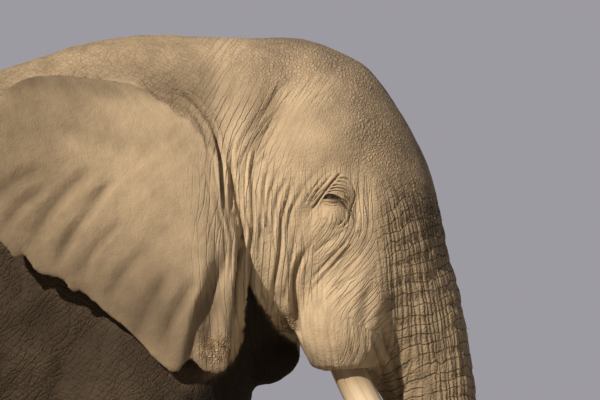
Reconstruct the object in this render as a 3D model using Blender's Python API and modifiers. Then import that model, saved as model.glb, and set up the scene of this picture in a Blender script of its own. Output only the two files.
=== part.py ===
"""African bush elephant bull, life size, standing: +X forward, +Y its left side, +Z up, metres.

The flesh is a union of lofts (spine, legs, tusk sheaths), fused by a voxel remesh, smoothed, thinned
and parted with thin cuts. Ears, jaw, tail, tusks, eyes and toenails are solids of their own, and the
flesh keeps a small gap round each of them.
"""
import math

import bmesh
import bpy
import numpy as np
from mathutils import Matrix, Vector

# ---------------------------------------------------------------- driving sizes, in metres
GAP = 0.0003                # clearance between touching pieces
FLESH_VOXEL = 0.026         # grid on which the flesh is fused
FLESH_FACES = 2800          # triangles of the whole flesh before it is parted
RING_POINTS = 28            # points round each section of a loft

EYE_X, EYE_Z = 0.0, 2.578
EYE_RADIUS = 0.021
EYE_STANDS_OUT = 0.009
CUT = 0.0003                # width of the cuts that part the flesh

TUSK_EXIT = Vector((0.062, 0.238, 1.985))
TUSK_RADIUS = 0.057
TUSK_LENGTH = 1.05          # of what shows
TUSK_ROOT = 0.16            # length inside the sheath
TUSK_ANGLES = (24.0, 74.0)  # from straight down, at the lip and at the tip, in degrees

EAR_ROOT_THICKNESS = 0.040
EAR_RIM_THICKNESS = 0.019

FORE_NAILS, HIND_NAILS = 4, 3

SKIN_COLOUR = (0.42, 0.33, 0.23)
IVORY_COLOUR = (0.78, 0.66, 0.47)
EYE_COLOUR = (0.06, 0.035, 0.02)
NAIL_COLOUR = (0.50, 0.42, 0.31)
HAIR_COLOUR = (0.03, 0.025, 0.02)

# Stations of the spine loft, from the rump to the tip of the trunk:
# top line (x, z), under line (x, z), half width, squareness, how much wider the upper half is.
SPINE = [
    ((-2.830, 2.28), (-2.85, 1.88), 0.20, 2.0, 0.00),
    ((-2.790, 2.50), (-2.83, 1.62), 0.38, 2.1, 0.00),
    ((-2.680, 2.72), (-2.74, 1.44), 0.49, 2.1, 0.00),
    ((-2.480, 2.90), (-2.52, 1.32), 0.57, 2.1, -0.04),
    ((-2.200, 2.965), (-2.22, 1.25), 0.63, 2.05, -0.10),
    ((-1.850, 2.930), (-1.85, 1.20), 0.70, 2.05, -0.12),
    ((-1.500, 2.955), (-1.45, 1.22), 0.70, 2.05, -0.12),
    ((-1.250, 3.015), (-1.05, 1.31), 0.63, 2.05, -0.12),
    ((-1.020, 3.087), (-0.68, 1.41), 0.55, 2.1, -0.12),
    ((-0.860, 3.137), (-0.37, 1.60), 0.475, 2.1, -0.10),
    ((-0.720, 3.162), (-0.28, 1.88), 0.44, 2.1, -0.08),
    ((-0.560, 3.163), (-0.25, 2.03), 0.42, 2.2, -0.06),
    ((-0.320, 3.153), (-0.20, 2.08), 0.415, 2.3, -0.08),
    ((-0.110, 3.153), (-0.14, 2.09), 0.400, 2.3, -0.10),
    ((0.030, 3.105), (-0.09, 2.10), 0.385, 2.3, -0.10),
    ((0.135, 3.045), (-0.05, 2.10), 0.365, 2.3, -0.10),
    ((0.230, 2.915), (-0.01, 2.09), 0.340, 2.3, -0.10),
    ((0.300, 2.795), (0.03, 2.07), 0.315, 2.3, -0.10),
    ((0.352, 2.675), (0.065, 2.04), 0.290, 2.3, -0.08),
    ((0.385, 2.540), (0.10, 2.00), 0.265, 2.3, -0.06),
    ((0.412, 2.400), (0.135, 1.955), 0.240, 2.3, -0.04),
    ((0.446, 2.285), (0.17, 1.91), 0.222, 2.3, 0.00),
    ((0.478, 2.130), (0.195, 1.86), 0.205, 2.3, 0.00),
    ((0.499, 1.990), (0.212, 1.79), 0.192, 2.3, 0.00),
    ((0.515, 1.860), (0.228, 1.70), 0.180, 2.3, 0.00),
    ((0.522, 1.700), (0.250, 1.57), 0.165, 2.2, 0.00),
    ((0.525, 1.450), (0.275, 1.38), 0.148, 2.2, 0.00),
    ((0.520, 1.150), (0.305, 1.12), 0.125, 2.2, 0.00),
    ((0.505, 0.850), (0.325, 0.86), 0.105, 2.2, 0.00),
    ((0.475, 0.580), (0.330, 0.62), 0.088, 2.2, 0.00),
    ((0.425, 0.360), (0.310, 0.44), 0.075, 2.1, 0.00),
    ((0.345, 0.220), (0.270, 0.33), 0.066, 2.1, 0.00),
    ((0.245, 0.165), (0.215, 0.28), 0.060, 2.0, 0.00),
    ((0.155, 0.185), (0.165, 0.28), 0.054, 2.0, 0.00),
]

# Stations of a leg, from the shoulder or hip down: z, centre x, half length, centre y, half width.
FORELEG = [
    (2.35, -0.80, 0.22, 0.36, 0.12),
    (2.00, -0.75, 0.34, 0.40, 0.19),
    (1.70, -0.70, 0.36, 0.41, 0.215),
    (1.45, -0.66, 0.31, 0.405, 0.212),
    (1.20, -0.62, 0.258, 0.40, 0.200),
    (0.98, -0.595, 0.228, 0.39, 0.188),
    (0.80, -0.575, 0.215, 0.385, 0.182),
    (0.60, -0.575, 0.190, 0.38, 0.168),
    (0.40, -0.585, 0.182, 0.38, 0.164),
    (0.25, -0.580, 0.198, 0.38, 0.184),
    (0.12, -0.566, 0.226, 0.38, 0.208),
    (0.02, -0.560, 0.234, 0.38, 0.216),
    (-0.05, -0.560, 0.225, 0.38, 0.208),
]
HINDLEG = [
    (2.25, -2.46, 0.26, 0.36, 0.14),
    (1.90, -2.43, 0.35, 0.39, 0.19),
    (1.60, -2.39, 0.34, 0.40, 0.195),
    (1.35, -2.335, 0.29, 0.395, 0.185),
    (1.12, -2.315, 0.245, 0.385, 0.170),
    (0.90, -2.365, 0.207, 0.375, 0.156),
    (0.68, -2.425, 0.188, 0.37, 0.150),
    (0.48, -2.455, 0.176, 0.37, 0.146),
    (0.30, -2.452, 0.180, 0.37, 0.154),
    (0.14, -2.432, 0.204, 0.37, 0.180),
    (0.02, -2.424, 0.216, 0.37, 0.190),
    (-0.05, -2.424, 0.208, 0.37, 0.182),
]
SWING_HEIGHT = 1.9
# How far each foot is set forward of the plain stance.
SWING = {"fore_right": 0.06, "fore_left": -0.24, "hind_right": -0.16, "hind_left": 0.20}

# Stations of a tusk sheath, from the face down to the lip, as for a leg.
SHEATH = [
    (2.52, 0.130, 0.120, 0.150, 0.120),
    (2.40, 0.090, 0.160, 0.185, 0.145),
    (2.26, 0.052, 0.164, 0.212, 0.152),
    (2.14, 0.036, 0.150, 0.228, 0.145),
    (2.05, 0.034, 0.136, 0.236, 0.128),
    (1.985, 0.044, 0.104, 0.238, 0.098),
]
# Stations of the lower jaw, from its angle forward to the tip of the lip: x, centre z, half height, half width.
JAW = [
    (-0.50, 2.190, 0.120, 0.210),
    (-0.38, 2.130, 0.145, 0.205),
    (-0.26, 2.065, 0.128, 0.165),
    (-0.19, 2.045, 0.098, 0.125),
    (-0.135, 2.050, 0.066, 0.085),
    (-0.110, 2.055, 0.030, 0.045),
]
# The tail's centre line with its half thickness fore-and-aft and across.
TAIL = [
    ((-2.70, 0.00, 2.56), 0.110, 0.095),
    ((-2.83, 0.00, 2.46), 0.086, 0.074),
    ((-2.915, 0.00, 2.25), 0.056, 0.050),
    ((-2.945, 0.005, 1.95), 0.040, 0.034),
    ((-2.950, 0.010, 1.65), 0.032, 0.027),
    ((-2.945, 0.015, 1.40), 0.026, 0.021),
]
TUFT = [
    ((-2.945, 0.015, 1.3990), 0.026, 0.021),
    ((-2.943, 0.017, 1.28), 0.048, 0.027),
    ((-2.940, 0.020, 1.10), 0.066, 0.032),
    ((-2.938, 0.022, 0.96), 0.052, 0.026),
    ((-2.936, 0.023, 0.86), 0.020, 0.012),
]

# The ear: the line (x, z) along which it grows from the head, and its free margin (x, distance
# from the middle, z).
EAR_ROOT = [
    (-0.660, 2.965),
    (-0.530, 2.915),
    (-0.430, 2.820),
    (-0.385, 2.700),
    (-0.350, 2.600),
    (-0.325, 2.490),
    (-0.318, 2.400),
]
EAR_MARGIN = [
    (-0.750, 0.370, 3.010),
    (-0.900, 0.455, 2.985),
    (-1.035, 0.560, 2.965),
    (-1.100, 0.640, 2.900),
    (-1.175, 0.715, 2.790),
    (-1.215, 0.745, 2.640),
    (-1.175, 0.745, 2.500),
    (-1.060, 0.730, 2.362),
    (-0.940, 0.715, 2.295),
    (-0.800, 0.695, 2.220),
    (-0.690, 0.670, 2.125),
    (-0.600, 0.640, 2.045),
    (-0.525, 0.610, 1.985),
    (-0.430, 0.585, 1.972),
    (-0.355, 0.560, 2.000),
    (-0.330, 0.525, 2.120),
    (-0.325, 0.480, 2.270),
]


# ---------------------------------------------------------------- tools
def clear_scene():
    for obj in list(bpy.data.objects):
        bpy.data.objects.remove(obj, do_unlink=True)


def collection(name, parent=None):
    made = bpy.data.collections.new(name)
    (parent or bpy.context.scene.collection).children.link(made)
    return made


def material(name, colour, roughness):
    mat = bpy.data.materials.new(name)
    mat.use_nodes = True
    shader = mat.node_tree.nodes["Principled BSDF"]
    shader.inputs["Base Color"].default_value = (*colour, 1.0)
    shader.inputs["Roughness"].default_value = roughness
    shader.inputs["Metallic"].default_value = 0.0
    return mat


def mesh_object(name, verts, faces, group, mat=None):
    mesh = bpy.data.meshes.new(name)
    mesh.from_pydata([tuple(v) for v in verts], [], faces)
    obj = bpy.data.objects.new(name, mesh)
    group.objects.link(obj)
    if mat:
        mesh.materials.append(mat)
    return obj


def smooth_through(stations, steps):
    """A Catmull-Rom curve through rows of numbers, with `steps` rows between each pair."""
    rows = np.array(stations, float)
    before = 2 * rows[0] - rows[1]
    after = 2 * rows[-1] - rows[-2]
    rows = np.vstack([before, rows, after])
    out = []
    for i in range(1, len(rows) - 2):
        p0, p1, p2, p3 = rows[i - 1:i + 3]
        for t in np.linspace(0, 1, steps, endpoint=False):
            out.append(
                0.5 * (2 * p1 + (p2 - p0) * t + (2 * p0 - 5 * p1 + 4 * p2 - p3) * t ** 2
                       + (3 * p1 - p0 - 3 * p2 + p3) * t ** 3)
            )
    out.append(rows[-2])
    return np.array(out)


def loft(name, rings, group, mat=None):
    """A closed skin over rings of equally many points, with a fan at each end."""
    count, around = len(rings), len(rings[0])
    verts = [p for ring in rings for p in ring]
    verts += [np.mean(rings[0], axis=0), np.mean(rings[-1], axis=0)]
    first, last = count * around, count * around + 1
    faces = []
    for j in range(around):
        k = (j + 1) % around
        faces.append((first, k, j))
        faces.append((last, (count - 1) * around + j, (count - 1) * around + k))
        for i in range(count - 1):
            faces.append((i * around + j, i * around + k, (i + 1) * around + k, (i + 1) * around + j))
    obj = mesh_object(name, verts, faces, group, mat)
    bm = bmesh.new()
    bm.from_mesh(obj.data)
    bmesh.ops.recalc_face_normals(bm, faces=bm.faces)
    bmesh.ops.triangulate(bm, faces=bm.faces)
    bm.to_mesh(obj.data)
    bm.free()
    return obj


def superellipse(squareness, points=RING_POINTS):
    """(cosine-like, sine-like) of points round a superellipse: exponent 2 is an ellipse, more is boxier."""
    angle = np.linspace(0, 2 * math.pi, points, endpoint=False)
    power = 2 / squareness
    return (np.sign(np.cos(angle)) * np.abs(np.cos(angle)) ** power,
            np.sign(np.sin(angle)) * np.abs(np.sin(angle)) ** power, np.cos(angle))


def spine_rings():
    """Sections that stand between the top line and the under line of the animal."""
    rows = [(*top, *under, half, square, upper) for top, under, half, square, upper in SPINE]
    rings = []
    for x_top, z_top, x_low, z_low, half, square, upper in smooth_through(rows, 3):
        along, across, rise = superellipse(square)
        centre_x, centre_z = (x_top + x_low) / 2, (z_top + z_low) / 2
        x = centre_x + along * (x_top - x_low) / 2
        z = centre_z + along * (z_top - z_low) / 2
        y = across * half * (1 + upper * rise)
        rings.append(np.stack([x, y, z], axis=1))
    return rings


def column_rings(stations, side, swing=0.0, square=2.2, steps=3):
    """Level sections of a leg or sheath on one side (+1 left, -1 right)."""
    rings = []
    for z, centre_x, length, centre_y, width in smooth_through(stations, steps):
        along, across, _ = superellipse(square)
        lean = swing * max(0.0, 1 - max(z, 0.0) / SWING_HEIGHT)
        x = centre_x + lean + along * length
        y = side * centre_y + across * width
        rings.append(np.stack([x, y, np.full_like(x, z)], axis=1))
    return rings


def jaw_rings():
    rings = []
    for x, centre_z, height, width in smooth_through(JAW, 2):
        along, across, _ = superellipse(2.2, 16)
        rings.append(np.stack([np.full_like(along, x), across * width, centre_z + along * height], axis=1))
    return rings


def tail_rings(stations, steps):
    rows = [(*centre, fore, across) for centre, fore, across in stations]
    rings = []
    for x, y, z, fore, across in smooth_through(rows, steps):
        along, side, _ = superellipse(2.0, 10)
        rings.append(np.stack([x + along * fore, y + side * across, np.full_like(along, z)], axis=1))
    return rings


def tusk_rings(side, points=12, steps=11):
    """Circles along an arc that starts inside the sheath and sweeps forward and outward."""
    rings = []
    start, end = (math.radians(a) for a in TUSK_ANGLES)
    total = TUSK_ROOT + TUSK_LENGTH
    centre = Vector((TUSK_EXIT.x, side * TUSK_EXIT.y, TUSK_EXIT.z))
    centre -= Vector((math.sin(start), side * 0.12, -math.cos(start))) * TUSK_ROOT
    step = total / steps
    for i in range(steps + 1):
        run = i * step
        share = max(0.0, (run - TUSK_ROOT) / TUSK_LENGTH)
        angle = start + (end - start) * share
        ahead = Vector((math.sin(angle), side * (0.12 + 0.10 * share), -math.cos(angle))).normalized()
        radius = TUSK_RADIUS * (1 - 0.22 * share - 0.64 * share ** 4)
        across = Vector((0, 1, 0)).cross(ahead).normalized()
        other = ahead.cross(across)
        rings.append(np.array([
            centre + radius * (math.cos(a) * across + math.sin(a) * other)
            for a in np.linspace(0, 2 * math.pi, points, endpoint=False)
        ]))
        centre = centre + ahead * step
    return rings


def ear_rings(flesh, side, across=5, along=24):
    """A closed sheet from the flesh to the ear's margin: it bellies outwards and thins to the rim."""
    root = smooth_through([(x, flank(flesh, x, z) - 0.012, z) for x, z in EAR_ROOT], 8)
    margin = smooth_through(EAR_MARGIN, 8)
    root = root[np.linspace(0, len(root) - 1, along).round().astype(int)]
    margin = margin[np.linspace(0, len(margin) - 1, along).round().astype(int)]
    share = np.linspace(0, 1, across)[None, :, None]
    middle = root[:, None, :] * (1 - share) + margin[:, None, :] * share
    turn = np.linspace(0, 1, along)[:, None]
    belly = 0.075 * np.sin(math.pi * share[..., 0] ** 0.8) * np.sin(math.pi * turn) ** 0.5
    middle[..., 1] += belly
    half = (EAR_ROOT_THICKNESS + (EAR_RIM_THICKNESS - EAR_ROOT_THICKNESS) * share[..., 0]) / 2
    rim = np.sqrt(np.clip(1 - np.clip((share[..., 0] - 0.9) / 0.1, 0, 1) ** 2, 0, 1)) * 0.55 + 0.45
    outer, inner = middle.copy(), middle.copy()
    outer[..., 1] += half * rim
    inner[..., 1] -= half * rim
    section = np.concatenate([outer, inner[:, ::-1]], axis=1)
    section[..., 1] *= side
    return list(section)


def flank(flesh, x, z):
    """How far the flesh reaches to the side at a place seen from the side."""
    hit, where, _, _ = flesh.ray_cast(Vector((x, 2.0, z)), Vector((0, -1, 0)))
    return where.y if hit else 0.0


# ---------------------------------------------------------------- joining and parting
def evaluated_copy(obj, name, group):
    """A plain mesh of the object as its modifiers make it."""
    bpy.context.view_layer.update()
    graph = bpy.context.evaluated_depsgraph_get()
    mesh = bpy.data.meshes.new_from_object(obj.evaluated_get(graph))
    made = bpy.data.objects.new(name, mesh)
    made.matrix_world = obj.matrix_world
    group.objects.link(made)
    return made


def joined(name, objects, group):
    bm = bmesh.new()
    for obj in objects:
        bm.from_mesh(obj.data)
    mesh = bpy.data.meshes.new(name)
    bm.to_mesh(mesh)
    bm.free()
    made = bpy.data.objects.new(name, mesh)
    group.objects.link(made)
    return made


def grown(obj, by, group):
    """A copy whose surface lies `by` outside the object's own."""
    made = bpy.data.objects.new(obj.name + "_cutter", obj.data.copy())
    made.matrix_world = obj.matrix_world
    group.objects.link(made)
    push = made.modifiers.new("grow", "DISPLACE")
    push.strength, push.mid_level = by, 0.0
    return evaluated_copy(made, made.name + "_grown", group)


def slab(name, centre, size, pitch, group):
    """A thin plate that parts the flesh, turned by `pitch` degrees about Y."""
    bm = bmesh.new()
    bmesh.ops.create_cube(bm, size=1.0)
    bmesh.ops.scale(bm, vec=Vector(size), verts=bm.verts)
    bmesh.ops.rotate(bm, matrix=Matrix.Rotation(math.radians(pitch), 3, "Y"), verts=bm.verts)
    bmesh.ops.translate(bm, vec=Vector(centre), verts=bm.verts)
    mesh = bpy.data.meshes.new(name)
    bm.to_mesh(mesh)
    bm.free()
    made = bpy.data.objects.new(name, mesh)
    group.objects.link(made)
    return made


def subtract(obj, cutters, group):
    for cutter in cutters:
        cut = obj.modifiers.new("cut_" + cutter.name, "BOOLEAN")
        cut.operation, cut.solver, cut.object = "DIFFERENCE", "EXACT", cutter
        cut.use_self = True
    return evaluated_copy(obj, obj.name + "_cut", group)


def hide_helpers(group):
    group.hide_render = True
    for obj in group.all_objects:
        obj.hide_render = True
        obj.display_type = "WIRE"
        obj.modifiers.clear()


def make_flesh(group):
    """The body, legs, head and trunk as one smooth solid with flat soles."""
    pieces = [loft("spine", spine_rings(), group)]
    for side, word in ((1, "left"), (-1, "right")):
        for rows, end in ((FORELEG, "fore"), (HINDLEG, "hind")):
            name = f"{end}_{word}"
            pieces.append(loft(name, column_rings(rows, side, SWING[name]), group))
        pieces.append(loft("sheath_" + word, column_rings(SHEATH, side), group))
    flesh = joined("flesh", pieces, group)
    fuse = flesh.modifiers.new("fuse", "REMESH")
    fuse.mode, fuse.voxel_size = "VOXEL", FLESH_VOXEL
    smooth = flesh.modifiers.new("smooth", "SMOOTH")
    smooth.factor, smooth.iterations = 0.5, 8
    fused = evaluated_copy(flesh, "fused", group)

    keep = fused.vertex_groups.new(name="thin_out")
    for vert in fused.data.vertices:
        on_head = vert.co.x > -0.5 and vert.co.z > 1.8
        keep.add([vert.index], 0.8 if on_head or vert.co.x > 0.1 else 1.0, "REPLACE")
    thin = fused.modifiers.new("thin", "DECIMATE")
    faces = sum(len(poly.vertices) - 2 for poly in fused.data.polygons)
    thin.ratio, thin.vertex_group = FLESH_FACES / faces, keep.name
    thin.use_collapse_triangulate = True
    return evaluated_copy(fused, "thinned", group)


def make_eye(flesh, side, group):
    """An eyeball that stands a little out of the face."""
    y = flank(flesh, EYE_X, EYE_Z) + EYE_STANDS_OUT - EYE_RADIUS
    bm = bmesh.new()
    bmesh.ops.create_uvsphere(bm, u_segments=10, v_segments=6, radius=EYE_RADIUS)
    bmesh.ops.rotate(bm, matrix=Matrix.Rotation(math.pi / 2, 3, "X"), verts=bm.verts)
    bmesh.ops.translate(bm, vec=Vector((EYE_X, side * y, EYE_Z)), verts=bm.verts)
    bmesh.ops.triangulate(bm, faces=bm.faces)
    mesh = bpy.data.meshes.new("eye")
    bm.to_mesh(mesh)
    bm.free()
    made = bpy.data.objects.new("eye_left" if side > 0 else "eye_right", mesh)
    group.objects.link(made)
    return made


def make_nails(end, side, group):
    """Nails round the front of a foot, each a rounded shield half sunk in the flesh."""
    rows, count = (FORELEG, FORE_NAILS) if end == "fore" else (HINDLEG, HIND_NAILS)
    word = "left" if side > 0 else "right"
    _, centre_x, length, centre_y, width = rows[-3]
    centre_x += SWING[f"{end}_{word}"] * (1 - 0.08 / SWING_HEIGHT)
    spread = math.radians(58 if count > 3 else 46)
    nails = []
    for i in range(count):
        angle = spread * (2 * i / (count - 1) - 1) * side
        x = centre_x + math.cos(angle) * (length - 0.010)
        y = side * centre_y + math.sin(angle) * (width - 0.010)
        size = Vector((0.034, 0.046 if abs(angle) < spread / 2 else 0.040, 0.050))
        bm = bmesh.new()
        bmesh.ops.create_uvsphere(bm, u_segments=8, v_segments=5, radius=1.0)
        bmesh.ops.scale(bm, vec=size, verts=bm.verts)
        turn = math.atan2(math.sin(angle) / width, math.cos(angle) / length)
        bmesh.ops.rotate(bm, matrix=Matrix.Rotation(turn, 3, "Z"), verts=bm.verts)
        bmesh.ops.translate(bm, vec=Vector((x, y, 0.068)), verts=bm.verts)
        bmesh.ops.triangulate(bm, faces=bm.faces)
        mesh = bpy.data.meshes.new("nail")
        bm.to_mesh(mesh)
        bm.free()
        made = bpy.data.objects.new(f"toenail_{end}_{word}_{i + 1}", mesh)
        group.objects.link(made)
        nails.append(made)
    return nails


# Thin plates that part the flesh: centre, size, pitch about Y in degrees.
def parting_plates(group):
    wide = 2.4
    plates = [
        slab("plate_head", (-0.44, 0, 2.62), (CUT, wide, 1.9), -16, group),
        slab("plate_neck", (-0.72, 0, 2.33), (CUT, wide, 2.3), -24, group),
        slab("plate_shoulders", (-1.22, 0, 2.1), (CUT, wide, 2.3), 0, group),
        slab("plate_barrel", (-2.02, 0, 2.1), (CUT, wide, 2.3), 0, group),
        slab("plate_trunk_base", (0.37, 0, 1.86), (0.55, 0.7, CUT), -4, group),
        slab("plate_trunk_middle", (0.40, 0, 1.18), (0.6, 0.7, CUT), 0, group),
        slab("plate_trunk_tip", (0.40, 0, 0.66), (0.6, 0.7, CUT), -8, group),
    ]
    for word, side in (("left", 1), ("right", -1)):
        fore, hind = SWING["fore_" + word], SWING["hind_" + word]
        for name, x, z, length in (
            ("fore_elbow", -0.63 + fore * 0.32, 1.27, 0.74), ("fore_wrist", -0.58 + fore * 0.6, 0.78, 0.74),
            ("fore_ankle", -0.575 + fore * 0.85, 0.24, 0.74), ("hind_knee", -2.33 + hind * 0.4, 1.14, 0.62),
            ("hind_hock", -2.40 + hind * 0.6, 0.74, 0.62), ("hind_ankle", -2.44 + hind * 0.85, 0.24, 0.62),
        ):
            plates.append(slab(f"plate_{name}_{word}", (x, side * 0.40, z), (length, 0.62, CUT), 0, group))
    return plates


def shells(obj):
    """The separate closed shells of a mesh, largest first, as lists of face indices."""
    bm = bmesh.new()
    bm.from_mesh(obj.data)
    left, found = set(bm.faces), []
    while left:
        stack = [left.pop()]
        shell = list(stack)
        while stack:
            face = stack.pop()
            for edge in face.edges:
                for other in edge.link_faces:
                    if other in left:
                        left.discard(other)
                        shell.append(other)
                        stack.append(other)
        points = np.array([v.co for f in shell for v in f.verts])
        found.append((sorted(f.index for f in shell), points.min(axis=0), points.max(axis=0)))
    bm.free()
    return sorted(found, key=lambda item: -float(np.prod(item[2] - item[1])))


def flesh_name(low, high):
    """The name of a part of the flesh from where its box lies."""
    x, y, z = (low + high) / 2
    if x > 0.15 and high[2] < 1.95:
        return "trunk_tip" if z < 0.5 else "trunk_middle" if z < 1.1 else "trunk_upper"
    if high[2] < 1.4:
        end, word = ("fore" if x > -1.4 else "hind"), ("left" if y > 0 else "right")
        lengths = ("foot", 0.15), ("lower", 0.6), ("upper", 2.0)
        return f"{end}leg_{word}_" + next(length for length, top in lengths if z < top)
    if x > -0.25:
        return "head"
    return "neck" if x > -0.7 else "shoulders" if x > -1.2 else "barrel" if x > -1.95 else "hindquarters"


def shell_object(obj, faces, name, group, mat):
    bm = bmesh.new()
    bm.from_mesh(obj.data)
    bm.faces.ensure_lookup_table()
    keep = set(faces)
    bmesh.ops.delete(bm, geom=[f for f in bm.faces if f.index not in keep], context="FACES")
    bmesh.ops.triangulate(bm, faces=bm.faces)
    mesh = bpy.data.meshes.new(name)
    bm.to_mesh(mesh)
    bm.free()
    mesh.materials.clear()
    mesh.materials.append(mat)
    made = bpy.data.objects.new(name, mesh)
    group.objects.link(made)
    return made


def publish(obj, name, group, mat):
    """Moves a finished piece into the elephant's own collection."""
    for old in list(obj.users_collection):
        old.objects.unlink(obj)
    group.objects.link(obj)
    obj.name = obj.data.name = name
    obj.data.materials.clear()
    obj.data.materials.append(mat)
    return obj


def centre_on_floor(group):
    """Puts the origin under the middle of the whole animal, at floor level."""
    points = np.array([v.co for obj in group.objects for v in obj.data.vertices])
    middle = (points.min(axis=0) + points.max(axis=0)) / 2
    for obj in group.objects:
        obj.data.transform(Matrix.Translation((-middle[0], -middle[1], 0)))


def main():
    clear_scene()
    body = collection("elephant")
    helpers = collection("helpers")
    skin = material("skin", SKIN_COLOUR, 0.85)
    ivory = material("ivory", IVORY_COLOUR, 0.35)
    eye = material("eye", EYE_COLOUR, 0.15)
    nail = material("nail", NAIL_COLOUR, 0.6)
    hair = material("hair", HAIR_COLOUR, 0.6)

    flesh = make_flesh(helpers)
    jaw = publish(loft("jaw", jaw_rings(), helpers), "jaw", body, skin)
    tail = publish(loft("tail", tail_rings(TAIL, 2), helpers), "tail", body, skin)
    tuft = publish(loft("tail_tuft", tail_rings(TUFT, 2), helpers), "tail_tuft", body, hair)
    whole = [jaw, tail]
    for side, word in ((1, "left"), (-1, "right")):
        whole.append(publish(make_eye(flesh, side, helpers), "eye_" + word, body, eye))
        whole.append(publish(loft("tusk", tusk_rings(side), helpers), "tusk_" + word, body, ivory))
        whole.append(publish(loft("ear", ear_rings(flesh, side), helpers), "ear_" + word, body, skin))
        for end in ("fore", "hind"):
            for obj in make_nails(end, side, helpers):
                whole.append(publish(obj, obj.name, body, nail))

    ground = slab("ground", (-1.2, 0, -0.15), (4.5, 2.0, 0.3), 0, helpers)
    cutters = [ground] + [grown(obj, GAP, helpers) for obj in whole] + parting_plates(helpers)
    parted = subtract(flesh, cutters, helpers)
    taken = set()
    for faces, low, high in shells(parted):
        if min(high - low) < 0.05:
            continue
        name = flesh_name(low, high)
        assert name not in taken, f"two parts of the flesh lie where {name} belongs"
        taken.add(name)
        shell_object(parted, faces, name, body, skin)
    assert len(taken) == 20, f"the flesh came apart in {len(taken)} parts: {sorted(taken)}"
    centre_on_floor(body)
    hide_helpers(helpers)


main()
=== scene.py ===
"""African bush elephant bull, life size, as a museum shows it: one seamless skin with its folds over
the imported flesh, and eyes, tusks, toenails and hair as pieces of their own."""
import math
from contextlib import contextmanager
from functools import reduce
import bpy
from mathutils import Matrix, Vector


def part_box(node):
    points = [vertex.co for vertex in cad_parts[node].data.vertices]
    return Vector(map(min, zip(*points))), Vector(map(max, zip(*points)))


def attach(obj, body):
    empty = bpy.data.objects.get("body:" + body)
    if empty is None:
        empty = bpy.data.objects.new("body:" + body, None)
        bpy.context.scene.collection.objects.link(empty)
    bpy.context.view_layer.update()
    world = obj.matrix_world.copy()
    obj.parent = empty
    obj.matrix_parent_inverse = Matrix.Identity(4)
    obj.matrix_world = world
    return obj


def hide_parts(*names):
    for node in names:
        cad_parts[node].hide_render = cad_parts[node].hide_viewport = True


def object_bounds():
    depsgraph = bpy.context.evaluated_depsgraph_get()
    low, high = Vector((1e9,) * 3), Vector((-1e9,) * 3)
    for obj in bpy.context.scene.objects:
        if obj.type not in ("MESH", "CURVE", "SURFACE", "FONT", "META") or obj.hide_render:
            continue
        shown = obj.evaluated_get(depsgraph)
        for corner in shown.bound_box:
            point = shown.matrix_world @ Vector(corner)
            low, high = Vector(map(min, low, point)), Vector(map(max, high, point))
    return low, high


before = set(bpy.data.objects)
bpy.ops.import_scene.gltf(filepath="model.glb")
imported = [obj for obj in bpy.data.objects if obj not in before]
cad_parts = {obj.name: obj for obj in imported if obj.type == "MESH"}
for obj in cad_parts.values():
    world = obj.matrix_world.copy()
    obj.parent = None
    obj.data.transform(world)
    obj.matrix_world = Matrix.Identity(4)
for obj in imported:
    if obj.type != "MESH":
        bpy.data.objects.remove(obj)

from types import SimpleNamespace

import bmesh
import bpy
import numpy as np
from mathutils import Vector
from mathutils.bvhtree import BVHTree

cad_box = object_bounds()

# ---------------- sizes
FINE = 0.0072      # grid of the finished skin
COARSE = 0.013                          # grid on which the body is rounded off
SKIN_FACES = 192_000

low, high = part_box("eye_left")
EYE = (np.array(low) + np.array(high)) / 2
EYE_RADIUS = (high - low).z / 2
PUPIL_FORWARD = 0.22
CM = 0.01

# The tusks: where the middle leaves the lip (forward of the eye, out from the middle plane, above the
# eye), the radius there, the lengths shown and hidden, and the angle from straight down at lip and tip.
TUSK_EXIT = (0.062, 0.238, -0.593)
TUSK_RADIUS = 0.057
TUSK_LENGTH = 1.05
TUSK_ROOT = 0.16
TUSK_ANGLES = (24.0, 74.0)
NAIL_WIDTH, NAIL_HEIGHT = 0.098, 0.078

GAP_CLOSER = 0.0012                     # how far each flesh solid swells so that the gaps between them close
EAR_SUNK = 0.012                        # how deep the ear's root lies in the flesh
EAR_CELL = 0.014                        # skin nearer than this to the free sheet is ear
LID_THICK = 0.0045                      # from the eyeball to the outside of the closed lid
TUFT_HAIRS = 1500
TAIL_EDGE_HAIRS = 420
FOOT_WALL = 0.12                        # nearer a foot's middle than this is its sole

# Round each eye the skin's faces are halved twice, inside these distances, and hardly thinned out again.
EYE_REACHES = (0.085, 0.042)
TRUNK_RING = 0.034                      # from one ring of the trunk to the next

CAMERA_AWAY, CAMERA_HEIGHT = 15.0, 2.034
CAMERA_BEHIND_EYE = 0.108
CAMERA_UP = 2.1                         # degrees above the horizon
FOCAL_LENGTH = 257.0

SKIN_NODES = [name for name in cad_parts
              if not name.startswith(("eye", "tusk", "toenail")) and name != "tail_tuft"]
FLESH_NODES = [name for name in SKIN_NODES if not name.startswith("ear")]
NAIL_NODES = [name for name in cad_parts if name.startswith("toenail")]

# Middle line of face and trunk, forward and up from the eye in metres, from the crown to the tip.
TRUNK_LINE = [(-0.34, 0.30), (-0.08, 0.20), (0.09, 0.02), (0.20, -0.20), (0.30, -0.45), (0.365, -0.70),
              (0.39, -0.90), (0.40, -1.13), (0.412, -1.43), (0.415, -1.73), (0.402, -1.98),
              (0.368, -2.18), (0.308, -2.31), (0.235, -2.36), (0.155, -2.345)]

# A long fold from the temple down the back of the cheek: the face's wrinkles run beside it.
CHEEK_LINE = [(-0.02, 0.56), (-0.115, 0.42), (-0.185, 0.30), (-0.242, 0.18), (-0.264, 0.08), (-0.268, -0.04),
              (-0.272, -0.16), (-0.276, -0.32), (-0.26, -0.60)]

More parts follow.
